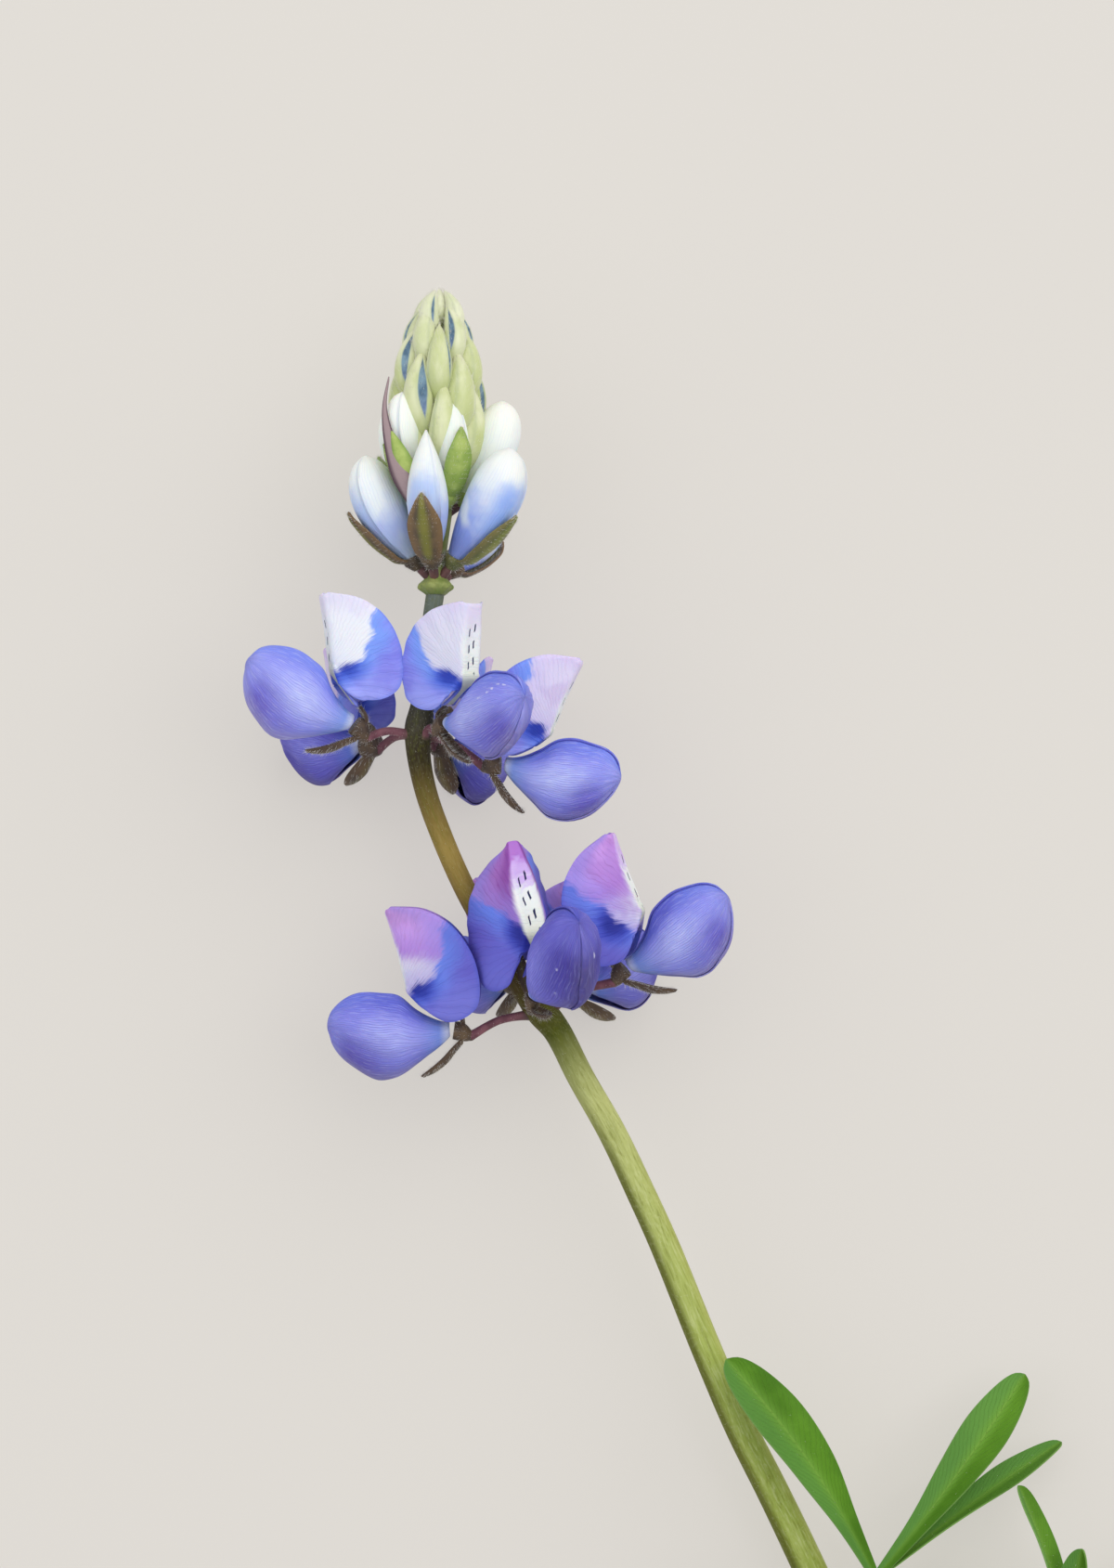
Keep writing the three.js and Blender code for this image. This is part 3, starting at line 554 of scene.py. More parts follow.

# how each flower differs: ripe is how far the banner's patch has turned from white to pink,
# deep how dark the wings are and brow how dark a band runs along their top; slant and retreat
# shift the patch's border, spread widens the banner's right flank and taper narrows its top;
# girth is the calyx's width, crest the length of its upper lip, chin that of its lower lip and
# coat the share of the lips' hairs; spot gives the banner's indigo spot its place and how
# narrow and short it is; each white fleck of the wings, a painted glint, has a side, a place
# along and one down
plain_look = dict(border=patch_border, slant=0.0, retreat=0.0, spread=0.0, taper=0.0, girth=1.0,
                  crest=1.0, chin=1.0, coat=1.0, brow=0.0, spot=(3.45, 4.35, 0.8, 1.0), flecks=())
looks = {
    "upper_1": dict(ripe=0.0, deep=0.07, girth=0.8, crest=0.35),
    "upper_2": dict(ripe=0.12, deep=0.28, slant=0.1, spread=0.15, girth=0.74, crest=0.3, flecks=(
        (1, 10.2, 0.19), (1, 11.2, 0.35), (1, 8.3, 0.33), (1, 9.4, 0.29), (1, 10.8, 0.2),
        (1, 9.8, 0.26))),
    "upper_3": dict(ripe=0.22, deep=0.1, slant=-0.1, girth=0.85, crest=0.6, brow=0.3),
    # the two rear flowers of the upper whorl, which lie under the spike, have deep wings as painted
    # shade
    "upper_4": dict(ripe=0.3, deep=0.8, girth=1.1, crest=0.5, coat=0.4),
    "upper_5": dict(ripe=0.3, deep=0.75, girth=1.1, coat=0.4),
    "lower_1": dict(ripe=0.75, deep=0.4, slant=0.05, girth=0.74, crest=0.6, brow=0.4),
    "lower_2": dict(ripe=1.0, deep=0.82, border=ripest_border, spread=0.45, taper=0.34, girth=0.66,
                    chin=0.5, coat=0.3, spot=(4.4, 4.0, 1.2, 0.7),
                    flecks=((1, 9.1, 0.76), (1, 6.8, 0.84), (-1, 10.6, 0.9))),
    "lower_3": dict(ripe=0.9, deep=0.22, border=right_border, girth=0.74, crest=0.6, brow=0.85,
                    spot=(1.5, 4.3, 1.0, 0.85)),
    "lower_4": dict(ripe=0.8, deep=0.6, slant=0.2, coat=0.5),
    "lower_5": dict(ripe=0.8, deep=0.6, slant=0.2, retreat=2.5, coat=0.5),
}

# place forward, top seam, lower edge and half width of the wings
wing_stations = np.array([
    [0.3, 0.65, -0.75, 0.75], [1.2, 0.75, -1.6, 1.15], [2.4, 1.2, -2.5, 1.75],
    [3.8, 2.05, -3.45, 2.35], [5.4, 3.3, -4.45, 2.8], [7.0, 3.6, -4.7, 2.95],
    [8.6, 3.55, -4.2, 2.85], [10.0, 3.25, -3.25, 2.4], [11.1, 2.6, -2.05, 1.7],
    [11.8, 1.7, -0.8, 1.0], [12.15, 0.45, 0.45, 0.0], [11.8, -0.8, 1.7, -1.0],
])
wing_slit, wing_slit_front = 0.5, 0.09      # how wide it opens at the rear and in front
wing_columns = 42

# the banner's lines in forward and up
banner_claw = [[0.6, 1.75], [3.2, 2.95]]
banner_ridge = [[4.2, 3.6], [4.9, 5.6], [5.45, 7.9], [6.1, 10.0], [6.6, 11.4]]
banner_edge = [
    [3.2, 2.6], [1.2, 1.2], [-0.9, 0.8], [-2.4, 2.3], [-2.75, 4.6],
    [-2.2, 6.9], [-0.9, 9.3], [1.1, 11.1], [3.9, 12.1], [6.1, 12.1],
]
banner_shares = np.array([0, 0.15, 0.32, 0.5, 0.68, 0.84, 1])      # how far up rows are set
banner_rows = 84
banner_columns = 73
banner_band = 1.25          # half width of the band in front
banner_fold = 0.24          # share of the way across at which the band ends

# forward and up, then the keel's half height and half width
keel_rows = 40
keel_stations = np.array([
    [1.7, -0.55, 0.4, 0.3], [3.6, -1.5, 0.8, 0.45], [5.8, -2.1, 0.95, 0.5],
    [7.9, -1.7, 0.9, 0.5], [9.2, -0.2, 0.7, 0.4], [9.7, 1.4, 0.3, 0.3],
])

# forward and up, then the half width or, for the cup, the radius
lower_lip = [
    [-0.9, -0.8, 0.6], [0.1, -1.8, 0.95], [1.0, -2.8, 1.15], [2.1, -3.75, 0.9], [3.1, -4.5, 0.12],
]
upper_lip = [
    [-0.9, 0.5, 0.6], [-0.75, 1.7, 0.75], [-0.35, 2.9, 0.8], [0.1, 3.9, 0.45], [0.25, 4.3, 0.1],
]
cup_line = [[-2.1, -0.75, 0.4], [-1.4, -0.45, 0.95], [-0.7, -0.1, 1.25], [-0.12, 0.0, 1.2]]
lip_rows = 26
lip_across = np.linspace(-1, 1, 13)         # shares of a lip's half width
pedicel_rows = 30

# number, length, lean and radius of the hairs on the pedicel, the cup and the two lips
calyx_hairs = [
    (70, 0.3, 0.3, 0.012), (130, 0.45, 0.9, 0.01), (420, 0.55, 1.0, 0.011), (130, 0.5, 1.1, 0.01),
]


def flower_place(whorl, turn, climb, seat, size, sway):
    """Places a flower's own coordinates, forward along the wings, up towards the banner and
    to the side, by its turn round the stem, its rise along the stem and its seat."""
    right, stem_up, front = np.eye(3)
    lean = whorl["lean"] + sway
    right, stem_up = turned(right, stem_up, lean), turned(stem_up, -right, lean)
    outward = turned(right, front, turn)
    forward, up = turned(outward, stem_up, climb), turned(stem_up, -outward, climb)
    side = np.cross(forward, up)
    origin = whorl["node"] + seat @ np.array([right, stem_up, front])

    def place(f, u, s):
        """The flower's origin plus its size times forward, up and side by these measures."""
        own = np.stack(np.broadcast_arrays(f, u, s), -1)
        return origin + size * own @ np.array([forward, up, side])

    return place, stem_up, side


def wing_pair(place, size, look, seed):
    """The wings: along the flower the top seam, the lower edge and the half width follow
    smooth lines; down each side the half width is multiplied by (4 w (1 - w)) ** 0.8 with w
    from 0 at the seam to the slit. The left petal laps over the right one at the seam."""
    at = np.concatenate([np.linspace(0, 8.2, 44), 8.2 + 1.8 * np.sin(np.linspace(0, np.pi / 2, 22)[1:])])
    f, top, bottom, half = (column[:, None] for column in smooth_line(wing_stations, at).T)
    half = np.maximum(half, 1e-3)
    slit = wing_slit_front + (wing_slit - wing_slit_front) * limit((5.5 - f) / 3)
    slit = slit / size * limit((8.6 - f) / 1.2)
    reach = (1 + np.sqrt(limit(1 - (slit / half) ** 1.25))) / 2
    v = (1 - np.cos(np.linspace(0, np.pi, wing_columns))) / 2
    thickness = (0.1 + 0.18 * limit(np.minimum(v, 1 - v) * 9)) * size
    shells = []
    for sign, lap, raised in ((-1, 0.02, 0.1), (1, 0.0, -0.1)):
        w = -lap + (reach + lap + lap * limit(1 - slit / 0.15)) * v
        folded = np.where(w > 1, 2 - w, np.abs(w))
        bulge = (4 * folded * (1 - folded)) ** (0.8 + 0.2 * np.exp(-(folded / 0.25) ** 2))
        s = sign * np.where((w < 0) | (w > 1), -1, 1) * half * bulge
        dent = -0.22 * np.exp(-((f - 8.9) / 1.5) ** 2 - ((w - 0.7) / 0.12) ** 2)
        ripple = (0.04 * np.sin(34 * w + 1.2 * np.sin(f + seed))
                  + 0.05 * np.sin(1.7 * f + 9 * w + seed)) * limit(f / 6)
        middle = place(f, top + (bottom - top) * folded, s)
        normals = normals_of(middle)
        normals[-1] = unit(normals[-2].mean(0, keepdims=True))
        lift = sign * (raised + dent + ripple) * size * limit((12.15 - f) * 2)
        dots = [np.exp(-((f - along) / 0.24) ** 2 - ((w - down) / 0.022) ** 2)
                for way, along, down in look["flecks"] if way == sign]
        fields = {"forward": f, "fan": limit(w), "depth": look["deep"], "brow": look["brow"],
                  "seam": v, "outer": (1 - sign) / 2, "fleck": np.max([0 * w] + dots, axis=0)}
        shells.append(blade(middle + lift[..., None] * normals, thickness, fields)[0])
    return shells


def patch_distance(f, u, border):
    """How far a point of the banner, seen from the side, lies in front of the border between
    the pale patch and the blue, in millimetres; behind it the distance is negative."""
    border = even_shares(border, 160)
    gap = np.stack([f, u], -1)[..., None, :] - border
    length = np.linalg.norm(gap, axis=-1)
    nearest = length.argmin(-1)
    step = np.gradient(border, axis=0)[nearest]
    across = np.take_along_axis(gap, nearest[..., None, None], 2)[..., 0, :]
    side = across[..., 0] * step[..., 1] - across[..., 1] * step[..., 0]
    return np.sign(side) * length.min(-1)


def averaged(grid, times):
    """Each point of a row drawn to the mean of itself twice and its neighbours, times over."""
    grid = grid.copy()
    for _ in range(times):
        grid[:, 1:-1] = (grid[:, :-2] + 2 * grid[:, 1:-1] + grid[:, 2:]) / 4
    return grid


def banner_petal(place, scale, nod, look, seed):
    """The banner: rows run up its front ridge and its outer edge; across, a grooved band lies
    in front and each flank runs straight back to the edge, sideways by band + 0.6 b -
    0.035 b b with b the way back. The fold between them is then averaged round."""
    spread, taper = look["spread"], look["taper"]
    ridge = even_shares(banner_ridge, banner_shares)
    edge = even_shares(banner_edge, banner_shares)
    band = banner_band * (0.8 + 0.2 * np.sin(np.pi * banner_shares))
    main = np.column_stack([ridge, edge, band, (ridge - edge) @ [0.966, -0.26]])
    claw = [[x, y, x - 0.08, y - 0.1, 0.42, 0.3] for x, y in banner_claw]
    rows = smooth_line(np.vstack([claw, main]), banner_rows)
    rf, ru, ef, eu, wide, back = (column[:, None] for column in rows.T)
    past_claw = np.linspace(-2, 6, banner_rows)[:, None]
    free, high = limit(past_claw), limit(past_claw / 6)
    c = np.linspace(-1, 1, banner_columns)
    q = np.abs(c)
    in_band = limit(q / banner_fold)
    w = limit((q - banner_fold) / (1 - banner_fold)) * (1 - taper * high**2)
    groove = 0.28 * np.sin(np.pi * high) * np.cos(np.pi / 2 * in_band) ** 1.5
    notch = 0.3 * np.exp(-(q / 0.05) ** 2) - (0.4 + 2 * taper) * (1 - w) ** 2
    f = rf + (ef - rf) * w - groove
    u = ru + (eu - ru) * w - limit((high - 0.85) / 0.15) * notch
    b = back * w
    s = np.sign(c) * (wide * (1 - 1.3 * taper * high**3) * in_band + 0.6 * b - 0.035 * b * b)
    own = averaged(np.stack([f, u, s], -1), 7)
    own = own + (averaged(own, 70) - own) * (limit((high - 0.66) / 0.34) ** 1.5)[..., None]
    f, u, s = np.moveaxis(own, -1, 0)
    fan = np.arctan2(u - 2.4, 5.4 - f)
    curl = 0.16 * limit((w - 0.75) / 0.25) ** 2 * np.sin(8.5 * high + seed + 1.7 * np.sign(c))
    pleat = 0.05 * np.sin(26 * fan) * limit(w * 2)
    s_out = (s + np.sign(c) * (curl + pleat)) * (1 + spread * (c < 0) * w)
    df, du = f - banner_ridge[0][0], u - banner_ridge[0][1]
    middle = place(f + (scale * turned(df, du, nod) - df) * free,
                   u + (scale * turned(du, -df, nod) - du) * free,
                   s_out * (1 + (scale - 1) * free))
    rim = np.minimum(1 - q, (1 - high) * 1.5 + 0.02) * 14
    spot_f, spot_u, narrow, short = look["spot"]
    ahead = patch_distance(f + look["slant"] * (u - 5), u, look["border"]) - look["retreat"]
    fields = {
        "patch": ahead - 9 * spread * (c < 0) * (w > 0.1), "high": u, "lane": s, "flank": q,
        "spot": np.hypot((f - spot_f) * narrow, (u - spot_u) * short),
        "ripe": look["ripe"], "fan": fan, "edge": 1 - q,
    }
    return blade(middle, 0.1 + 0.2 * limit(rim), fields)[0]


def lip_blade(middle, swelling, tone, greener):
    """A calyx lip about its middle grid, thicker by the swelling times 1 - v * v across."""
    return blade(middle, 0.16 + swelling * (1 - lip_across**2), {
        "tone": tone, "across": lip_across, "along": np.linspace(0, 1, lip_rows)[:, None],
        "greener": greener})


def flower_lip(place, stations, bulge, girth):
    """A lip of an open flower: its half width follows a smooth line along it, and it bulges
    outward by 1 - v * v across."""
    f, u, half = (column[:, None] for column in smooth_line(stations, lip_rows).T)
    half = half * girth
    crown = half * (1 - lip_across**2)
    middle = place(f + bulge[0] * crown, u + bulge[1] * crown, lip_across * half)
    return lip_blade(middle, 0.2, 1.0, 0.2)


def pedicel_calyx(place, whorl, stem_up, side, look, seed):
    """The pedicel, a thin arched stalk from the stem to the flower, and the calyx: a small
    cup and two lips under a coat of silky hairs."""
    girth = look["girth"]
    cup_f, cup_u, cup_radii = even_shares(cup_line, 22).T
    root = place(-1.7, -0.6, 0.0)
    outward = root - whorl["node"]
    outward = unit(outward - stem_up * (outward @ stem_up))
    start = whorl["node"] + outward * (whorl["radius"] - 0.5) - 0.2 * stem_up
    arch = even_shares([start, (start + root) / 2 + 0.5 * stem_up, root], pedicel_rows)
    t = np.linspace(0, 1, pedicel_rows)
    tone = 2.0 - 1.2 * np.exp(-11 * t)[:, None]
    flare = 0.4 + 0.3 * np.exp(-t * 10) + 0.1 * t**6
    stalk, stalk_grid = tube(arch, flare, 14, {"tone": tone}, side)
    cup, cup_grid = tube(place(cup_f, cup_u, 0.0), cup_radii * girth, 20, {"tone": 1.0}, side)
    chin = np.array(lower_lip)
    chin[:, :2] = chin[0, :2] + look["chin"] * (chin[:, :2] - chin[0, :2])
    crest = np.array(upper_lip) * [1, look["crest"], 1] + [0, 0.5 * (1 - look["crest"]), 0]
    low, low_grid = flower_lip(place, chin, [-0.35, -0.45], girth)
    high, high_grid = flower_lip(place, crest, [-0.4, 0.1], girth)
    grids = [stalk_grid, cup_grid, low_grid, high_grid]
    shares = [1, 1, look["coat"], look["coat"]]
    return [stalk, cup, low, high] + [
        hair_coat(grid, int(count * share), *values, seed + k)
        for k, (grid, share, (count, *values)) in enumerate(zip(grids, shares, calyx_hairs))]


def keel_petal(place, size, side):
    """The keel: a flat oval tube along a smooth line, its tip turned up; towards both ends it
    narrows by the root of eight times the share of its length that is left."""
    f, u, half, depth = even_shares(keel_stations, keel_rows).T
    t = np.linspace(0, 1, keel_rows)
    ease = np.sqrt(np.clip(np.minimum(t * 8, (1.02 - t) * 8), 0.02, 1)) * size
    return tube(place(f, u, 0.0), half * ease, 16, {}, side, depth * ease)[0]


def vein_group():
    """Fine veins that fan out: lines at even steps of a fan value, wavering with the noise,
    and between them thinner ones further out."""
    group = bpy.data.node_groups.new("petal_veins", "ShaderNodeTree")
    for way, names in (("INPUT", "Fan Outward Count Waver"), ("OUTPUT", "Veins Grain")):
        for name in names.split():
            group.interface.new_socket(name, in_out=way, socket_type="NodeSocketFloat")
    given = group.nodes.new("NodeGroupInput")
    result = group.nodes.new("NodeGroupOutput")
    fan, outward, count, waver = (Output(given.outputs[k]) for k in range(4))
    lines = fan * count + (noise(group, 420) - 0.5) * waver
    main = lines.beat().rise(0.13, 0.0)
    second = (lines + 0.5).beat().rise(0.09, 0.0) * outward.rise(0.3, 0.55)
    grain = flat_noise(lines * 2.2, outward * 5.0, 1.6, 5.0)
    group.links.new(main.math("MAXIMUM", main, second).socket, result.inputs["Veins"])
    group.links.new(grain.socket, result.inputs["Grain"])
    return group


petal_veins = vein_group()
petal_gloss = {"Subsurface Weight": 0.1, "Subsurface Scale": 0.0005, "Specular IOR Level": 0.2}


def veins(fan, outward, count, waver=1.1):
    """The vein lines and the streaky grain of a petal."""
    line = fan.node("Group", {"Fan": fan, "Outward": outward, "Count": count, "Waver": waver},
                    node_tree=petal_veins)
    return line, Output(line.socket.node.outputs["Grain"])


def hill(first, centre_1, width_1, second, centre_2, width_2):
    """A soft round mask: 1 at both centres, falling to 0 at a distance of one width."""
    one, two = (first - centre_1) / width_1, (second - centre_2) / width_2
    return one.math("SQRT", one * one + two * two).rise(1.0, 0.0)


def wing_finish():
    """Violet blue with a streaky lavender field of painted highlight, dusky violet at the lower
    front, paler again at the front tip as painted light, azure at the base and along the top,
    fine fanned veins, a dark seam line of painted shade and a few white flecks of painted
    glint. The first of two colours is that of the palest wings and the second that of the
    deepest."""
    skin, tree = start_finish("wing_skin", 0.55, petal_gloss)
    f, w, deep, brow, seam, outer, fleck = fields(tree, "forward fan depth brow seam outer fleck")
    line, grain = veins(w, f / 12.0, 19.0)
    streak = grain.rise(0.34, 0.66)
    f_soft = f + (noise(tree, 300) - 0.5) * 2.6
    base = coats(deep.blend("959af4", "5448b8"), [
        # a streaky lavender field in the middle of each wing: painted highlight
        (hill(f_soft, 6.2, 6.0, w, 0.5, 0.4) * (streak * 0.35 + 0.65), "c6cdfb", "7672de"),
        (hill(f_soft, 9.8, 5.8, w, 0.98, 0.66) * (streak * 0.4 + 0.6) * 1.2, "6a5cc2", "33297c"),
        (w.rise(0.84, 1.0) * 0.7, "a29cca", "3a3068"),
        # paler towards the front tip: painted light where the wings turn away
        (f.rise(9.8, 11.8) * 0.6, "a6acfa", "6660c6"),
        (w.rise(0.3, 0.04) * 0.8, "7a8ff4", "4644b0"),
        (hill(f_soft, 5.4, 5.0, w, 0.08, 0.28) * brow, "585acc", "3c3aa4"),
        ((f + grain * 2.0).rise(4.8, 1.8) * 0.8, "8cb0f4", "6480e4"),
        (f.rise(1.5, 0.5) * 0.7, "dfe4f2"),
        (line * 0.34, "6c66cc", "352d86"),
        (grain.rise(0.5, 0.68) * 0.3, "cfd4fb", "8a86e0"),
        # a thin dark line along the outer petal's edge at the seam: painted shade where it laps over the
        # other
        (seam.rise(0.02, 0.0) * outer * 0.7, "5a58b8", "2e2670"),
        # small white flecks: painted glints
        (fleck.rise(0.35, 0.8) * 0.7, "dfe0f6"),
    ], deep)
    return end_finish(skin, base, grain - line * 0.45, 0.0001, 0.7)


def banner_finish():
    """A pale patch in front and above, white on young flowers and magenta on ripe ones, blue
    behind and below with an azure border and an indigo spot, and a cream band in front with
    two rows of ink-dark dashes. The second of two colours is that of the ripest banner."""
    skin, tree = start_finish("banner_skin", 0.55, petal_gloss)
    high, ripe, flank, fan, patch, edge, spot, lane = fields(
        tree, "high ripe flank fan patch edge spot lane")
    line, grain = veins(fan, high / 12.0, 8.0, 1.6)
    wander = (noise(tree, 420, 4) - 0.5) * 1.6 + (grain - 0.5) * 1.6
    ahead = patch + wander
    cloud = noise(tree, 260)
    ripest = ripe.rise(0.9, 1.0)
    ink = spot + wander * 0.7
    blue = coats(ripe.blend("868ceb", "6765cc"), [
        # paler near the outer edge low on the banner: partly its own pale rim and partly painted light
        # that lifts the shade there
        (edge.rise(0.5, 0.08) * high.rise(6.5, 2.5) * 0.65, "a9b0f2", "8284e4"),
        (cloud.rise(0.42, 0.7) * 0.6, "7a76da", "6a5fc4"),
        (grain.rise(0.45, 0.75) * 0.25, "a2a8f2", "6f73d8"),
        (line * 0.14, "686ad2", "3d3a9c"),
        (ahead.rise(-2.8, -0.4) * 0.8, "7ca2f4", "6886ea"),
        # darker near the outer edge of ripe banners: painted shade
        (edge.rise(0.5, 0.1) * ripe.rise(0.4, 0.8) * 0.35, "504bac"),
        (edge.rise(0.05, 0.0) * 0.5, "6a7fe0", "4a50b8"),
        (ink.rise(2.6, 0.9), "4f6ad8", "3f48b8"),
        (ink.rise(1.5, 0.4), "2c42b0", "262c90"),
    ], ripe)

    young = ripe.steps((0.0, "eceef3"), (0.12, "d9d8e8"), (0.2, "e0d6f4"), (0.4, "e2d2f2"))
    young = coats(young, [(high.rise(8.6, 12.4) * 0.6, "d8cfee")])
    old = (high / 12.0).steps(
        (0.36, "dedce8"), (0.5, "c4b0e8"), (0.62, "ae82d8"), (0.8, "c298e4"), (0.95, "cb98e0"))
    old = coats(old, [
        ((high + ripe * 9.0 + wander * 0.9).rise(14.8, 12.4), "e2e0ea"),
        (ripest * 0.85, "985eb0"),
    ])
    streak = grain.rise(0.5, 0.75) * (ripe * 0.3 + 0.12) + grain.rise(0.5, 0.7) * ripest * 0.25
    patch = coats(ripe.rise(0.0, 0.8).blend(young, old), [
        (cloud.rise(0.5, 0.66) * 0.6, "d9cfec", "a468c2"),
        (streak, "d0cce6", "8f4aa4"),
        (line * 0.08, "b9b4dc", "8a469f"),
        (flank.rise(0.55, 0.3) * high.rise(4.4, 6.6) * ripest * 0.85, "86449a"),
        (edge.rise(0.5, 0.12) * ripe.rise(0.5, 0.9) * 0.6, "8884d6"),
        (ahead.rise(2.8, 0.2) * ripe * 0.6, "9a86dc"),
    ], ripe)

    top = high + (grain - 0.5) * 5.0
    cream = (high / 12.0).steps((0.25, "dfe3c2"), (0.4, "ebeee2"), (0.7, "e6e9ea"), (0.9, "dfd8ea"))
    cream = coats(cream, [
        (top.rise(7.8, 9.6) * ripe, "cdaee8"),
        (top.rise(9.4, 11.4) * ripest, "b074ca"),
    ])
    row = abs(abs(lane) + (noise(tree, 900, 2) - 0.5) * 0.3 - 0.36).rise(0.13, 0.07)
    gap = (high * 0.56 + lane * 0.4).beat().rise(0.27, 0.2)
    base = coats(ahead.rise(-0.4, 0.45).blend(blue, patch), [
        ((flank + wander * 0.03).rise(0.29, 0.2), cream),
        (row * gap * high.rise(3.9, 4.3) * high.rise(9.9, 9.4), "10154a"),
    ])
    return end_finish(skin, base, grain - line * 0.45, 0.00006, 0.8)


def calyx_finish():
    """Brown grey calyx with a greener middle, bright green on young buds, and dark maroon
    stalks; the value called tone is 0 for green, 1 for brown and 2 for maroon, and above
    that for the dusty maroon of the long bract."""
    skin, tree = start_finish("calyx_skin", 0.62, {"Sheen Weight": 0.1})
    tone, across, greener = fields(tree, "tone across greener")
    away = abs(across)
    patchy = noise(tree, 700, 4).rise(0.35, 0.7)
    green = coats(patchy.blend("86a042", "a8ba62"), [(away.rise(0.35, 1.0) * 0.6, "6f8f38")])
    brown = coats(patchy.blend("43342a", "665036"), [
        (away.rise(0.5, 0.05) * greener, "807f28"),
        (away.rise(0.35, 0.85) * 0.7, "35261f", "8c6a40"),
    ], greener)
    base = coats(tone.rise(0.0, 1.0).blend(green, brown), [
        (tone.rise(1.2, 2.0), patchy.blend("643540", "85505a")),
        (tone.rise(2.1, 2.5), away.rise(0.45, 0.9).blend("9a8486", "4e3440")),
    ])
    return end_finish(skin, base, noise(tree, 3200), 0.00008, 0.8)


def keel_finish():
    """Pale, almost white, with a violet tip and faint cross streaks."""
    skin, tree = start_finish("keel_skin", 0.5, {"Sheen Weight": 0.2})
    along, = fields(tree, "along")
    base = along.steps((0.0, "dfe2ee"), (0.6, "cfd2ef"), (0.85, "8f86cf"), (1.0, "4a3a86"))
    base = coats(base, [(noise(tree, 1800) * 0.3, "b7b9e2")])
    return end_finish(skin, base, noise(tree, 2600, 2), 0.00005, 0.6)


wing_skin = wing_finish()
banner_skin = banner_finish()
calyx_skin = calyx_finish()
keel_skin = keel_finish()

for number, (name, values) in enumerate(flowers.items()):
    whorl, turn, climb, seat, size, banner_size, nod, sway = values
    look = plain_look | looks[name]
    place, stem_up, side = flower_place(whorl, turn, climb, seat, size, sway)
    calyx = pedicel_calyx(place, whorl, stem_up, side, look, 40 + 9 * number)
    make_piece(f"hairy_calyx_{name}", calyx, [calyx_skin, silver_hair], f"calyx_{name}")
    banner = banner_petal(place, banner_size, nod, look, number)
    make_piece(f"banner_petal_{name}", [banner], [banner_skin], f"banner_{name}")
    wings = wing_pair(place, size, look, number)
    make_piece(f"wing_petals_{name}", wings, [wing_skin], f"wings_{name}")
    keel = keel_petal(place, size, side)
    make_piece(f"keel_petal_{name}", [keel], [keel_skin], f"keel_{name}")


# The bud head: an axis with rings of young buds, each a hairy yellow-green calyx that lets a
# dark blue sliver of petal show, and below them two rings of large buds, whose pale petals
# stand out of a cup with one long calyx lip.

head_foot = np.array([-27.85, 52.95, 14.7])
head_top = np.array([-27.6, 82.0, 12.6])
head_along = unit(head_top - head_foot)
head_right = unit(np.array([1.0, 0, 0]) - head_along * head_along[0])
head_front = np.cross(head_right, head_along)

# height up the head, number, foot radius, outward tilt, length, half width, turn
young_rings = [
    (11.0, 6, 2.0, 8, 9.2, 1.4, 20), (14.6, 5, 2.4, 3, 8.6, 1.45, 50),
    (18.2, 5, 2.4, -3, 7.6, 1.3, 15), (21.8, 5, 1.9, -6, 6.2, 1.1, 50),
    (24.6, 4, 1.15, -6, 4.8, 0.95, 30), (25.8, 1, -0.5, -2, 3.9, 0.85, 90),
]

# how wide the two slits of a young bud open, by ring and number; the others are shut
open_slits = {
    (1, 1): (0, 1.0), (1, 4): (0.8, 0.3), (2, 1): (0, 0.45), (2, 2): (0, 0.8), (3, 0): (0.8, 0),
    (3, 2): (0, 0.45), (3, 4): (0.6, 0), (4, 1): (0, 0.55), (0, 4): (0.6, 0), (1, 3): (0.7, 0.5),
    (2, 3): (0.8, 0), (2, 4): (0, 0.6), (3, 3): (0.5, 0.5), (4, 3): (0.5, 0),
}

# turn, height of the foot, foot radius, outward tilt, length, half width, half depth, lip
# length, lip half width, brownness of the calyx, outline, flush of blue
large_buds = {
    "a1": (165, 3.0, 2.3, 27, 11.0, 2.2, 2.5, 6.4, 1.3, 0.9, "full", 0.6),
    "a2": (100, 3.0, 2.4, 16, 12.4, 2.0, 2.2, 6.6, 1.7, 0.9, "pointed", 0.6),
    "a3": (36, 3.0, 2.4, 33, 12.2, 2.5, 2.7, 6.6, 1.4, 0.66, "full", 0.9),
    "a4": (312, 2.4, 2.5, 38, 9.5, 2.1, 2.5, 6.4, 1.3, 1.0, "full", 1.0),
    "a5": (244, 3.0, 2.4, 28, 10.5, 2.0, 2.4, 6.6, 1.3, 1.0, "full", 1.0),
    "b1": (140, 9.8, 2.4, 12, 9.4, 1.55, 1.8, 4.6, 1.3, 0.0, "egg", 0.0),
    "b2": (66, 9.0, 2.4, 6, 10.0, 1.5, 1.6, 6.6, 1.35, 0.05, "pointed", 0.0),
    "b3": (0, 9.2, 2.8, 21, 10.0, 2.0, 2.3, 4.8, 1.3, 0.0, "egg", 0.1),
    "b4": (290, 9.4, 2.4, 14, 9.6, 1.6, 1.9, 4.8, 1.3, 0.0, "egg", 0.1),
    "b5": (212, 9.4, 2.4, 14, 9.6, 1.6, 1.9, 4.8, 1.3, 0.0, "egg", 0.0),
}

# share of the length and share of the half width
outlines = {
    "full": np.array([[0, 0.35], [0.22, 0.76], [0.5, 1], [0.76, 0.9], [0.92, 0.55], [1, 0.1]]),
    "pointed": np.array([[0, 0.35], [0.2, 0.8], [0.42, 1], [0.68, 0.78], [0.88, 0.36], [1, 0.04]]),
    "egg": np.array([[0, 0.35], [0.25, 0.72], [0.55, 1], [0.8, 0.88], [0.94, 0.52], [1, 0.1]]),
    "young": np.array([[0, 0.5], [0.3, 1], [0.65, 0.8], [0.9, 0.35], [1, 0.05]]),
}
lip_outline = np.array([[-0.08, 0.4], [0.15, 0.85], [0.5, 1.0], [0.85, 0.45], [1.0, 0.05]])

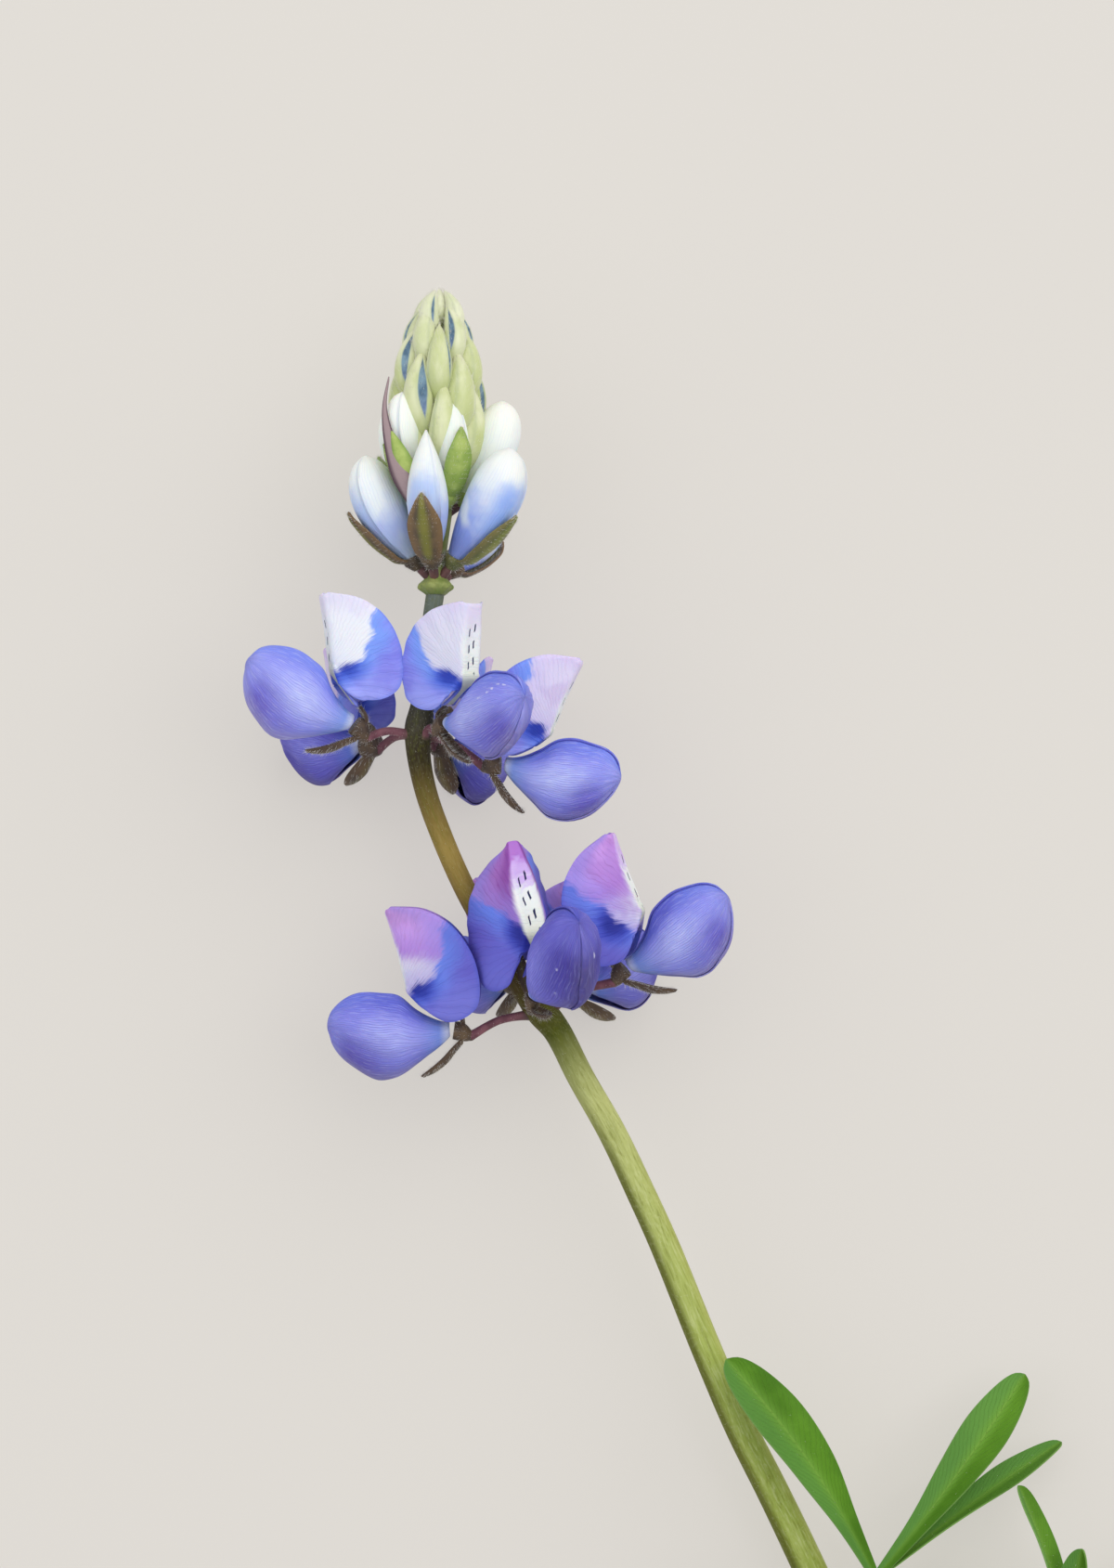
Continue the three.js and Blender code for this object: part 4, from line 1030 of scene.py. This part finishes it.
# two bracts, each with its tone and its places with the half width there
bracts = {
    2.6: [[-30.0, 61.1, 18.7, 0.45], [-31.1, 64.0, 18.9, 1.0], [-32.3, 67.4, 18.5, 0.55],
          [-32.8, 70.6, 17.5, 0.2], [-32.4, 73.6, 16.6, 0.05]],
    0.0: [[-29.9, 63.0, 18.5, 0.4], [-30.6, 64.6, 18.95, 0.8], [-31.4, 66.4, 18.95, 0.62],
          [-32.1, 68.2, 18.5, 0.05]],
}

# radii of the lumpy collar at even steps from its foot on, and of the axis by height
collar_foot, collar_step, collar_height = -0.6, 0.32, 1.3
collar_radii = [[0.95], [1.3], [1.58], [1.62], [1.38], [1.1], [0.95]]
axis_radii = np.array([[1.3, 0.95], [3, 0.95], [8, 1.6], [14, 2.1], [20, 1.8], [26.5, 0.6]])
axis_sides = 48
bud_rows = 40
bud_bow = 0.9
slit_angles = -0.95, 0.95   # where round a young bud its two slits lie, from the outer side
young_sides = 36
petal_sides = 48
lap_at = 0.38               # where round a large bud one petal laps over the other
bud_stalk_rows = 16
bud_cup_hairs = 140, 0.45, 0.8, 0.014       # number, length, lean and radius
bud_lip_hairs = 380, 0.42, 1.2, 0.013


def bud_frame(turn, height, radius, tilt):
    """A bud's foot on the head, the outward direction at its turn, and the direction of the
    bud, tilted outward."""
    outward = turned(head_right, head_front, turn)
    foot = head_foot + head_along * height + outward * radius
    return foot, outward, turned(head_along, outward, tilt)


def bud_spindle(turn, height, radius, tilt, length, width, depth, outline, sides, fields, swell):
    """A bud's spindle: its middle line runs along the tilted direction and bows outward by
    0.9 sin(pi t); width and depth follow the outline."""
    foot, outward, along = bud_frame(turn, height, radius, tilt)
    rows = even_shares(outlines[outline] * [length, width], bud_rows)
    t = rows[:, 0] / length
    share = np.maximum(rows[:, 1] / width, 0.02)
    middles = foot + np.outer(t * length, along) + np.outer(bud_bow * np.sin(np.pi * t), outward)
    return tube(middles, width * share, sides, fields, outward, depth * share, swell)


def young_bud(turn, height, radius, tilt, length, width, opened, tip, seed):
    """A young bud: a downy calyx whose two lips may leave a long slit open on either side,
    where the petals show. The slit's half angle is 0.42 sin(pi x) times its opening along it;
    there the surface lies an eighth deeper, and its rims stand up a little."""
    x = limit((np.linspace(0, 1, bud_rows) - 0.2) / 0.72)[:, None]
    angle = ring_angles(young_sides)
    slit = np.maximum(*(0.42 * share * np.sin(np.pi * x) - np.abs(angle - np.pi / 2 - way) - 0.03
                        for share, way in zip(opened, slit_angles)))
    ridge = np.exp(-(slit / 0.12) ** 2) * np.sin(np.pi * x)
    body, grid = bud_spindle(
        turn, height, radius, tilt, length, width, width * 1.05, "young", young_sides,
        {"slit": slit, "shade": (seed * 0.37) % 1, "tip": tip},
        1 - 0.13 * limit(slit / 0.16) + 0.05 * ridge)
    return [body, hair_coat(grid, 260 + int(120 * tip), 0.5, 1.2, 0.016, seed)]


def bract(points, tone):
    """A narrow bract: a thin blade along a smooth line of places and half widths, folded."""
    rows = smooth_line(points, 30)
    across = unit(np.cross(unit(np.gradient(rows[:, :3], axis=0)), [0, 0, 1.0]))
    v = np.linspace(-1, 1, 9)
    half = rows[:, 3:]
    middle = rows[:, None, :3] + (v * half)[..., None] * across[:, None]
    middle[..., 2] += 0.3 * half * (1 - v**2)
    return blade(middle, 0.14, {"tone": tone, "across": v})[0]


def bud_calyx(turn, height, radius, tilt, length, depth, lip, lip_half_width, outline, tone):
    """The calyx of a large bud: a thin stalk from the axis, a cup round the foot of the petals
    and a keeled lip that lies on the outer side of the petals."""
    foot, outward, along = bud_frame(turn, height, radius, tilt)
    away = turned(outward, -head_along, tilt)
    across = np.cross(along, away)
    axis = head_foot + head_along * (height - 2.6)
    end = foot - 0.6 * along
    stalk, _ = tube(even_shares([axis, (axis + end) / 2, end], bud_stalk_rows),
                    np.linspace(0.42, 0.55, bud_stalk_rows), 10, {"tone": 1.6}, across)
    cup_at = np.linspace(-1.3, 0.1, 12)
    cup_radii = np.interp(cup_at, [-1.3, -0.5, 0.1], [0.5, 1.1, 1.2])
    cup, cup_grid = tube(foot + np.outer(cup_at, along), cup_radii, 16, {"tone": tone}, outward)
    rows = smooth_line(lip_outline, lip_rows)
    reach = rows[:, 0] * lip
    share = np.maximum(reach, 0) / length
    belly = depth * np.interp(share, *outlines[outline].T) + 0.6
    clear = np.where(reach > 0, belly + 0.15, 0.7)
    clear[2:-2] = np.convolve(clear, np.array([1, 4, 6, 4, 1]) / 16, "valid")
    line = (foot + np.outer(reach, along) + np.outer(bud_bow * np.sin(np.pi * share), outward)
            + np.outer(clear, away))
    half = rows[:, 1:] * lip_half_width
    keeled = -0.35 * half * (np.sqrt(lip_across**2 + 0.02) - 0.1)
    middle = line[:, None] + (lip_across * half)[..., None] * across + keeled[..., None] * away
    body, grid = lip_blade(middle, 0.22, tone, 0.75)
    return [stalk, cup, body], cup_grid, grid


def in_calyx_skin(shells):
    """The same shells in the third finish of the bud head."""
    return [body | {"finish": 2} for body in shells]


def young_bud_finish():
    """Pale yellow green calyx lips, darker at the foot and with painted shade in the folds
    beside the slits, and in the slit between them the slate blue of the unopened petals."""
    skin, tree = start_finish("young_bud_skin", 0.6, {"Sheen Weight": 0.35})
    t, shade, tip, slit = fields(tree, "along shade tip slit")
    patches = noise(tree, 600, 4, (1, 0.4, 1))
    slit = slit + (patches - 0.5) * 0.12
    inner = noise(tree, 900).rise(0.35, 0.7).blend("3f607a", "7391a4")
    base = coats(patches.rise(0.35, 0.68).blend("bcc682", "dde0b8"), [
        (shade * 0.4, "d0d5a2"),
        (t.rise(0.4, 0.0) * 0.6, "a5b168"),
        (t.rise(0.75, 1.0) * 0.5, "dad8b4"),
        # paler up the head towards its top: partly the small top buds' own paler colour and partly
        # painted light against the shade among them
        (tip.rise(0.3, 1.0) * 0.6, "e8ead0"),
        # darker in the folds beside each slit: painted shade
        (slit.rise(-0.3, 0.0) * 0.35, "9aa884"),
        (slit.rise(-0.04, 0.09), coats(inner, [(t.rise(0.5, 0.25) * 0.5, "8393c4")])),
    ])
    return end_finish(skin, base, noise(tree, 2400, 3, (1, 0.3, 1)), 0.0001, 0.8)


def bud_petal_finish():
    """Milky white, flushed blue in soft blotches over the lower half and along one edge; the
    value called flush is how blue the bud is."""
    skin, tree = start_finish("bud_petal_skin", 0.48, {
        "Subsurface Weight": 0.15, "Subsurface Scale": 0.0008, "Specular IOR Level": 0.4})
    t, around, flush, outward, fold = fields(tree, "along around flush outward fold")
    line, grain = veins(around, t, 12.0)
    blotch = noise(tree, 230, 2, (1.4, 0.8, 1.0))
    way = t + (noise(tree, 380) - 0.5) * 0.4
    tip, foot = flush.blend("f8f9ee", "f0f3ee"), flush.blend("eef3ea", "dfe7f2")
    base = coats(way.rise(0.95, 0.5).blend(tip, foot), [
        (way.rise(0.62, 0.3) * blotch.rise(0.36, 0.56) * flush, "86a0ea"),
        (way.rise(0.4, 0.08) * flush * 0.8, "7a8ade"),
        (hill(outward, 0.95, 0.6, way, 0.52, 0.3) * flush * 0.9, "7aa4f2"),
        (t.rise(0.35, 0.0) * (1.0 - flush) * 0.8, "b9cc8e"),
        (line * 0.14, "a9b8ea"),
        (fold * 0.3, "a4b6dc"),
    ])
    return end_finish(skin, base, grain - line * 0.4, 0.00006, 0.6)


bud_petal_skin = bud_petal_finish()
share = ((np.arange(petal_sides) + 0.5) / petal_sides)[None]
past = (share - lap_at) % 1.0
petal_lap = 1 + 0.1 * (0.5 - past) ** 3 * 4 + 0.05 * np.exp(-past / 0.05)
petal_fields = {
    "around": 1 - np.abs(2 * share - 1), "outward": np.sin(2 * np.pi * share),
    "fold": np.exp(-(((share - lap_at + 0.5) % 1.0 - 0.5 + 0.012) / 0.016) ** 2),
}
for name, (*seat, depth, lip, lip_half, tone, outline, flush) in large_buds.items():
    body, _ = bud_spindle(*seat, depth, outline, petal_sides, petal_fields | {"flush": flush}, petal_lap)
    make_piece(f"pale_bud_{name}", [body], [bud_petal_skin], f"bud_petal_{name}")

core_at = np.concatenate([np.linspace(collar_foot, 1.4, 24)[:-1], np.linspace(1.4, 26.5, 40)])
collar_at = np.clip((core_at - collar_foot) / collar_step, 0, len(collar_radii) - 1)
core_radii = np.where(core_at > collar_height, np.interp(core_at, *axis_radii.T),
                      smooth_line(collar_radii, collar_at)[:, 0])
angle = ring_angles(axis_sides)
lumps = (0.09 * np.cos(5 * angle + 0.6) + 0.05 * np.cos(9 * angle + 3 * core_at[:, None])
         + 0.05 * np.cos(13 * angle - 5 * core_at[:, None]))
lumpy = np.exp(-((core_at - 0.2) / 0.75) ** 2)[:, None]
core = tube(head_foot + np.outer(core_at, head_along), core_radii, axis_sides,
            {"tone": 0.42, "across": 0.3}, head_front, swell=1 + lumpy * lumps)[0]
head_shells = in_calyx_skin([core])
seed = 200
for ring, (height, count, radius, tilt, length, width, first) in enumerate(young_rings):
    for number in range(count):
        seed += 1
        head_shells += young_bud(first + 360 * number / count, height, radius, tilt, length, width,
                                 open_slits.get((ring, number), (0, 0)), ring / 5, seed)
for *seat, width, depth, lip, lip_half, tone, outline, flush in large_buds.values():
    seed += 1
    bodies, cup_grid, lip_grid = bud_calyx(*seat, depth, lip, lip_half, outline, tone)
    head_shells += in_calyx_skin(bodies) + [
        hair_coat(cup_grid, *bud_cup_hairs, seed), hair_coat(lip_grid, *bud_lip_hairs, seed + 50)]
head_shells += in_calyx_skin([bract(points, tone) for tone, points in bracts.items()])

make_piece("young_bud_head", head_shells, [young_bud_finish(), silver_hair, calyx_skin],
           "bud_head")


# The place it lies in: a plain pale surface under large soft lamps, and a camera that looks
# straight down on the spike from the height that gives the photograph's angle of view.

lamps_face = [-0.01, 0.02, 0.0]         # the middle of the spike, in metres


def lamp(name, place, width, power, tint):
    """A square soft lamp at a place in metres that faces the middle of the spike: it tilts by
    the angle between down and that way, and turns by the way's angle on the floor."""
    light = bpy.data.lights.new(name, "AREA")
    light.shape = "SQUARE"
    light.size = width
    light.energy = power
    light.color = tint
    holder = put(name, light)
    holder.location = place
    x, y, z = np.subtract(lamps_face, place)
    holder.rotation_euler = (math.atan2(math.hypot(x, y), -z), 0, math.atan2(y, x) - math.pi / 2)


surface = bpy.data.meshes.new("pale_surface")
surface.from_pydata([(-2, -2, 0), (2, -2, 0), (2, 2, 0), (-2, 2, 0)], [], [(0, 1, 2, 3)])
paper, paper_tree = start_finish("pale_paper", 0.85, {"Emission Strength": 1.0})
paper_grain = noise(paper_tree, 3.0, 2)
end_finish(paper, paper_grain.blend("8e8b86", "8b8883"))
paper_tree.links.new(paper_grain.blend("b5b1ab", "b1ada7").socket,
                     paper_tree.nodes["Principled BSDF"].inputs["Emission Color"])
surface.materials.append(paper)
put("pale_surface", surface)

lamp("window", (0.45, 0.5, 0.8), 1.3, 8.0, (1.0, 0.985, 0.96))
lamp("fill", (-0.6, 0.1, 0.6), 0.9, 2.0, (0.94, 0.97, 1.0))

world = bpy.data.worlds.new("soft_room")
world.use_nodes = True
world.node_tree.nodes["Background"].inputs["Color"].default_value = (0.93, 0.95, 1.0, 1)
world.node_tree.nodes["Background"].inputs["Strength"].default_value = 0.6
bpy.context.scene.world = world
bpy.context.scene.view_settings.view_transform = "Standard"

lens = bpy.data.cameras.new("above")
lens.lens = 150
lens.sensor_width = 36
lens.clip_start = 0.01
camera = put("above", lens)
camera.location = (-0.016, 0.03386, 0.654)
bpy.context.scene.camera = camera
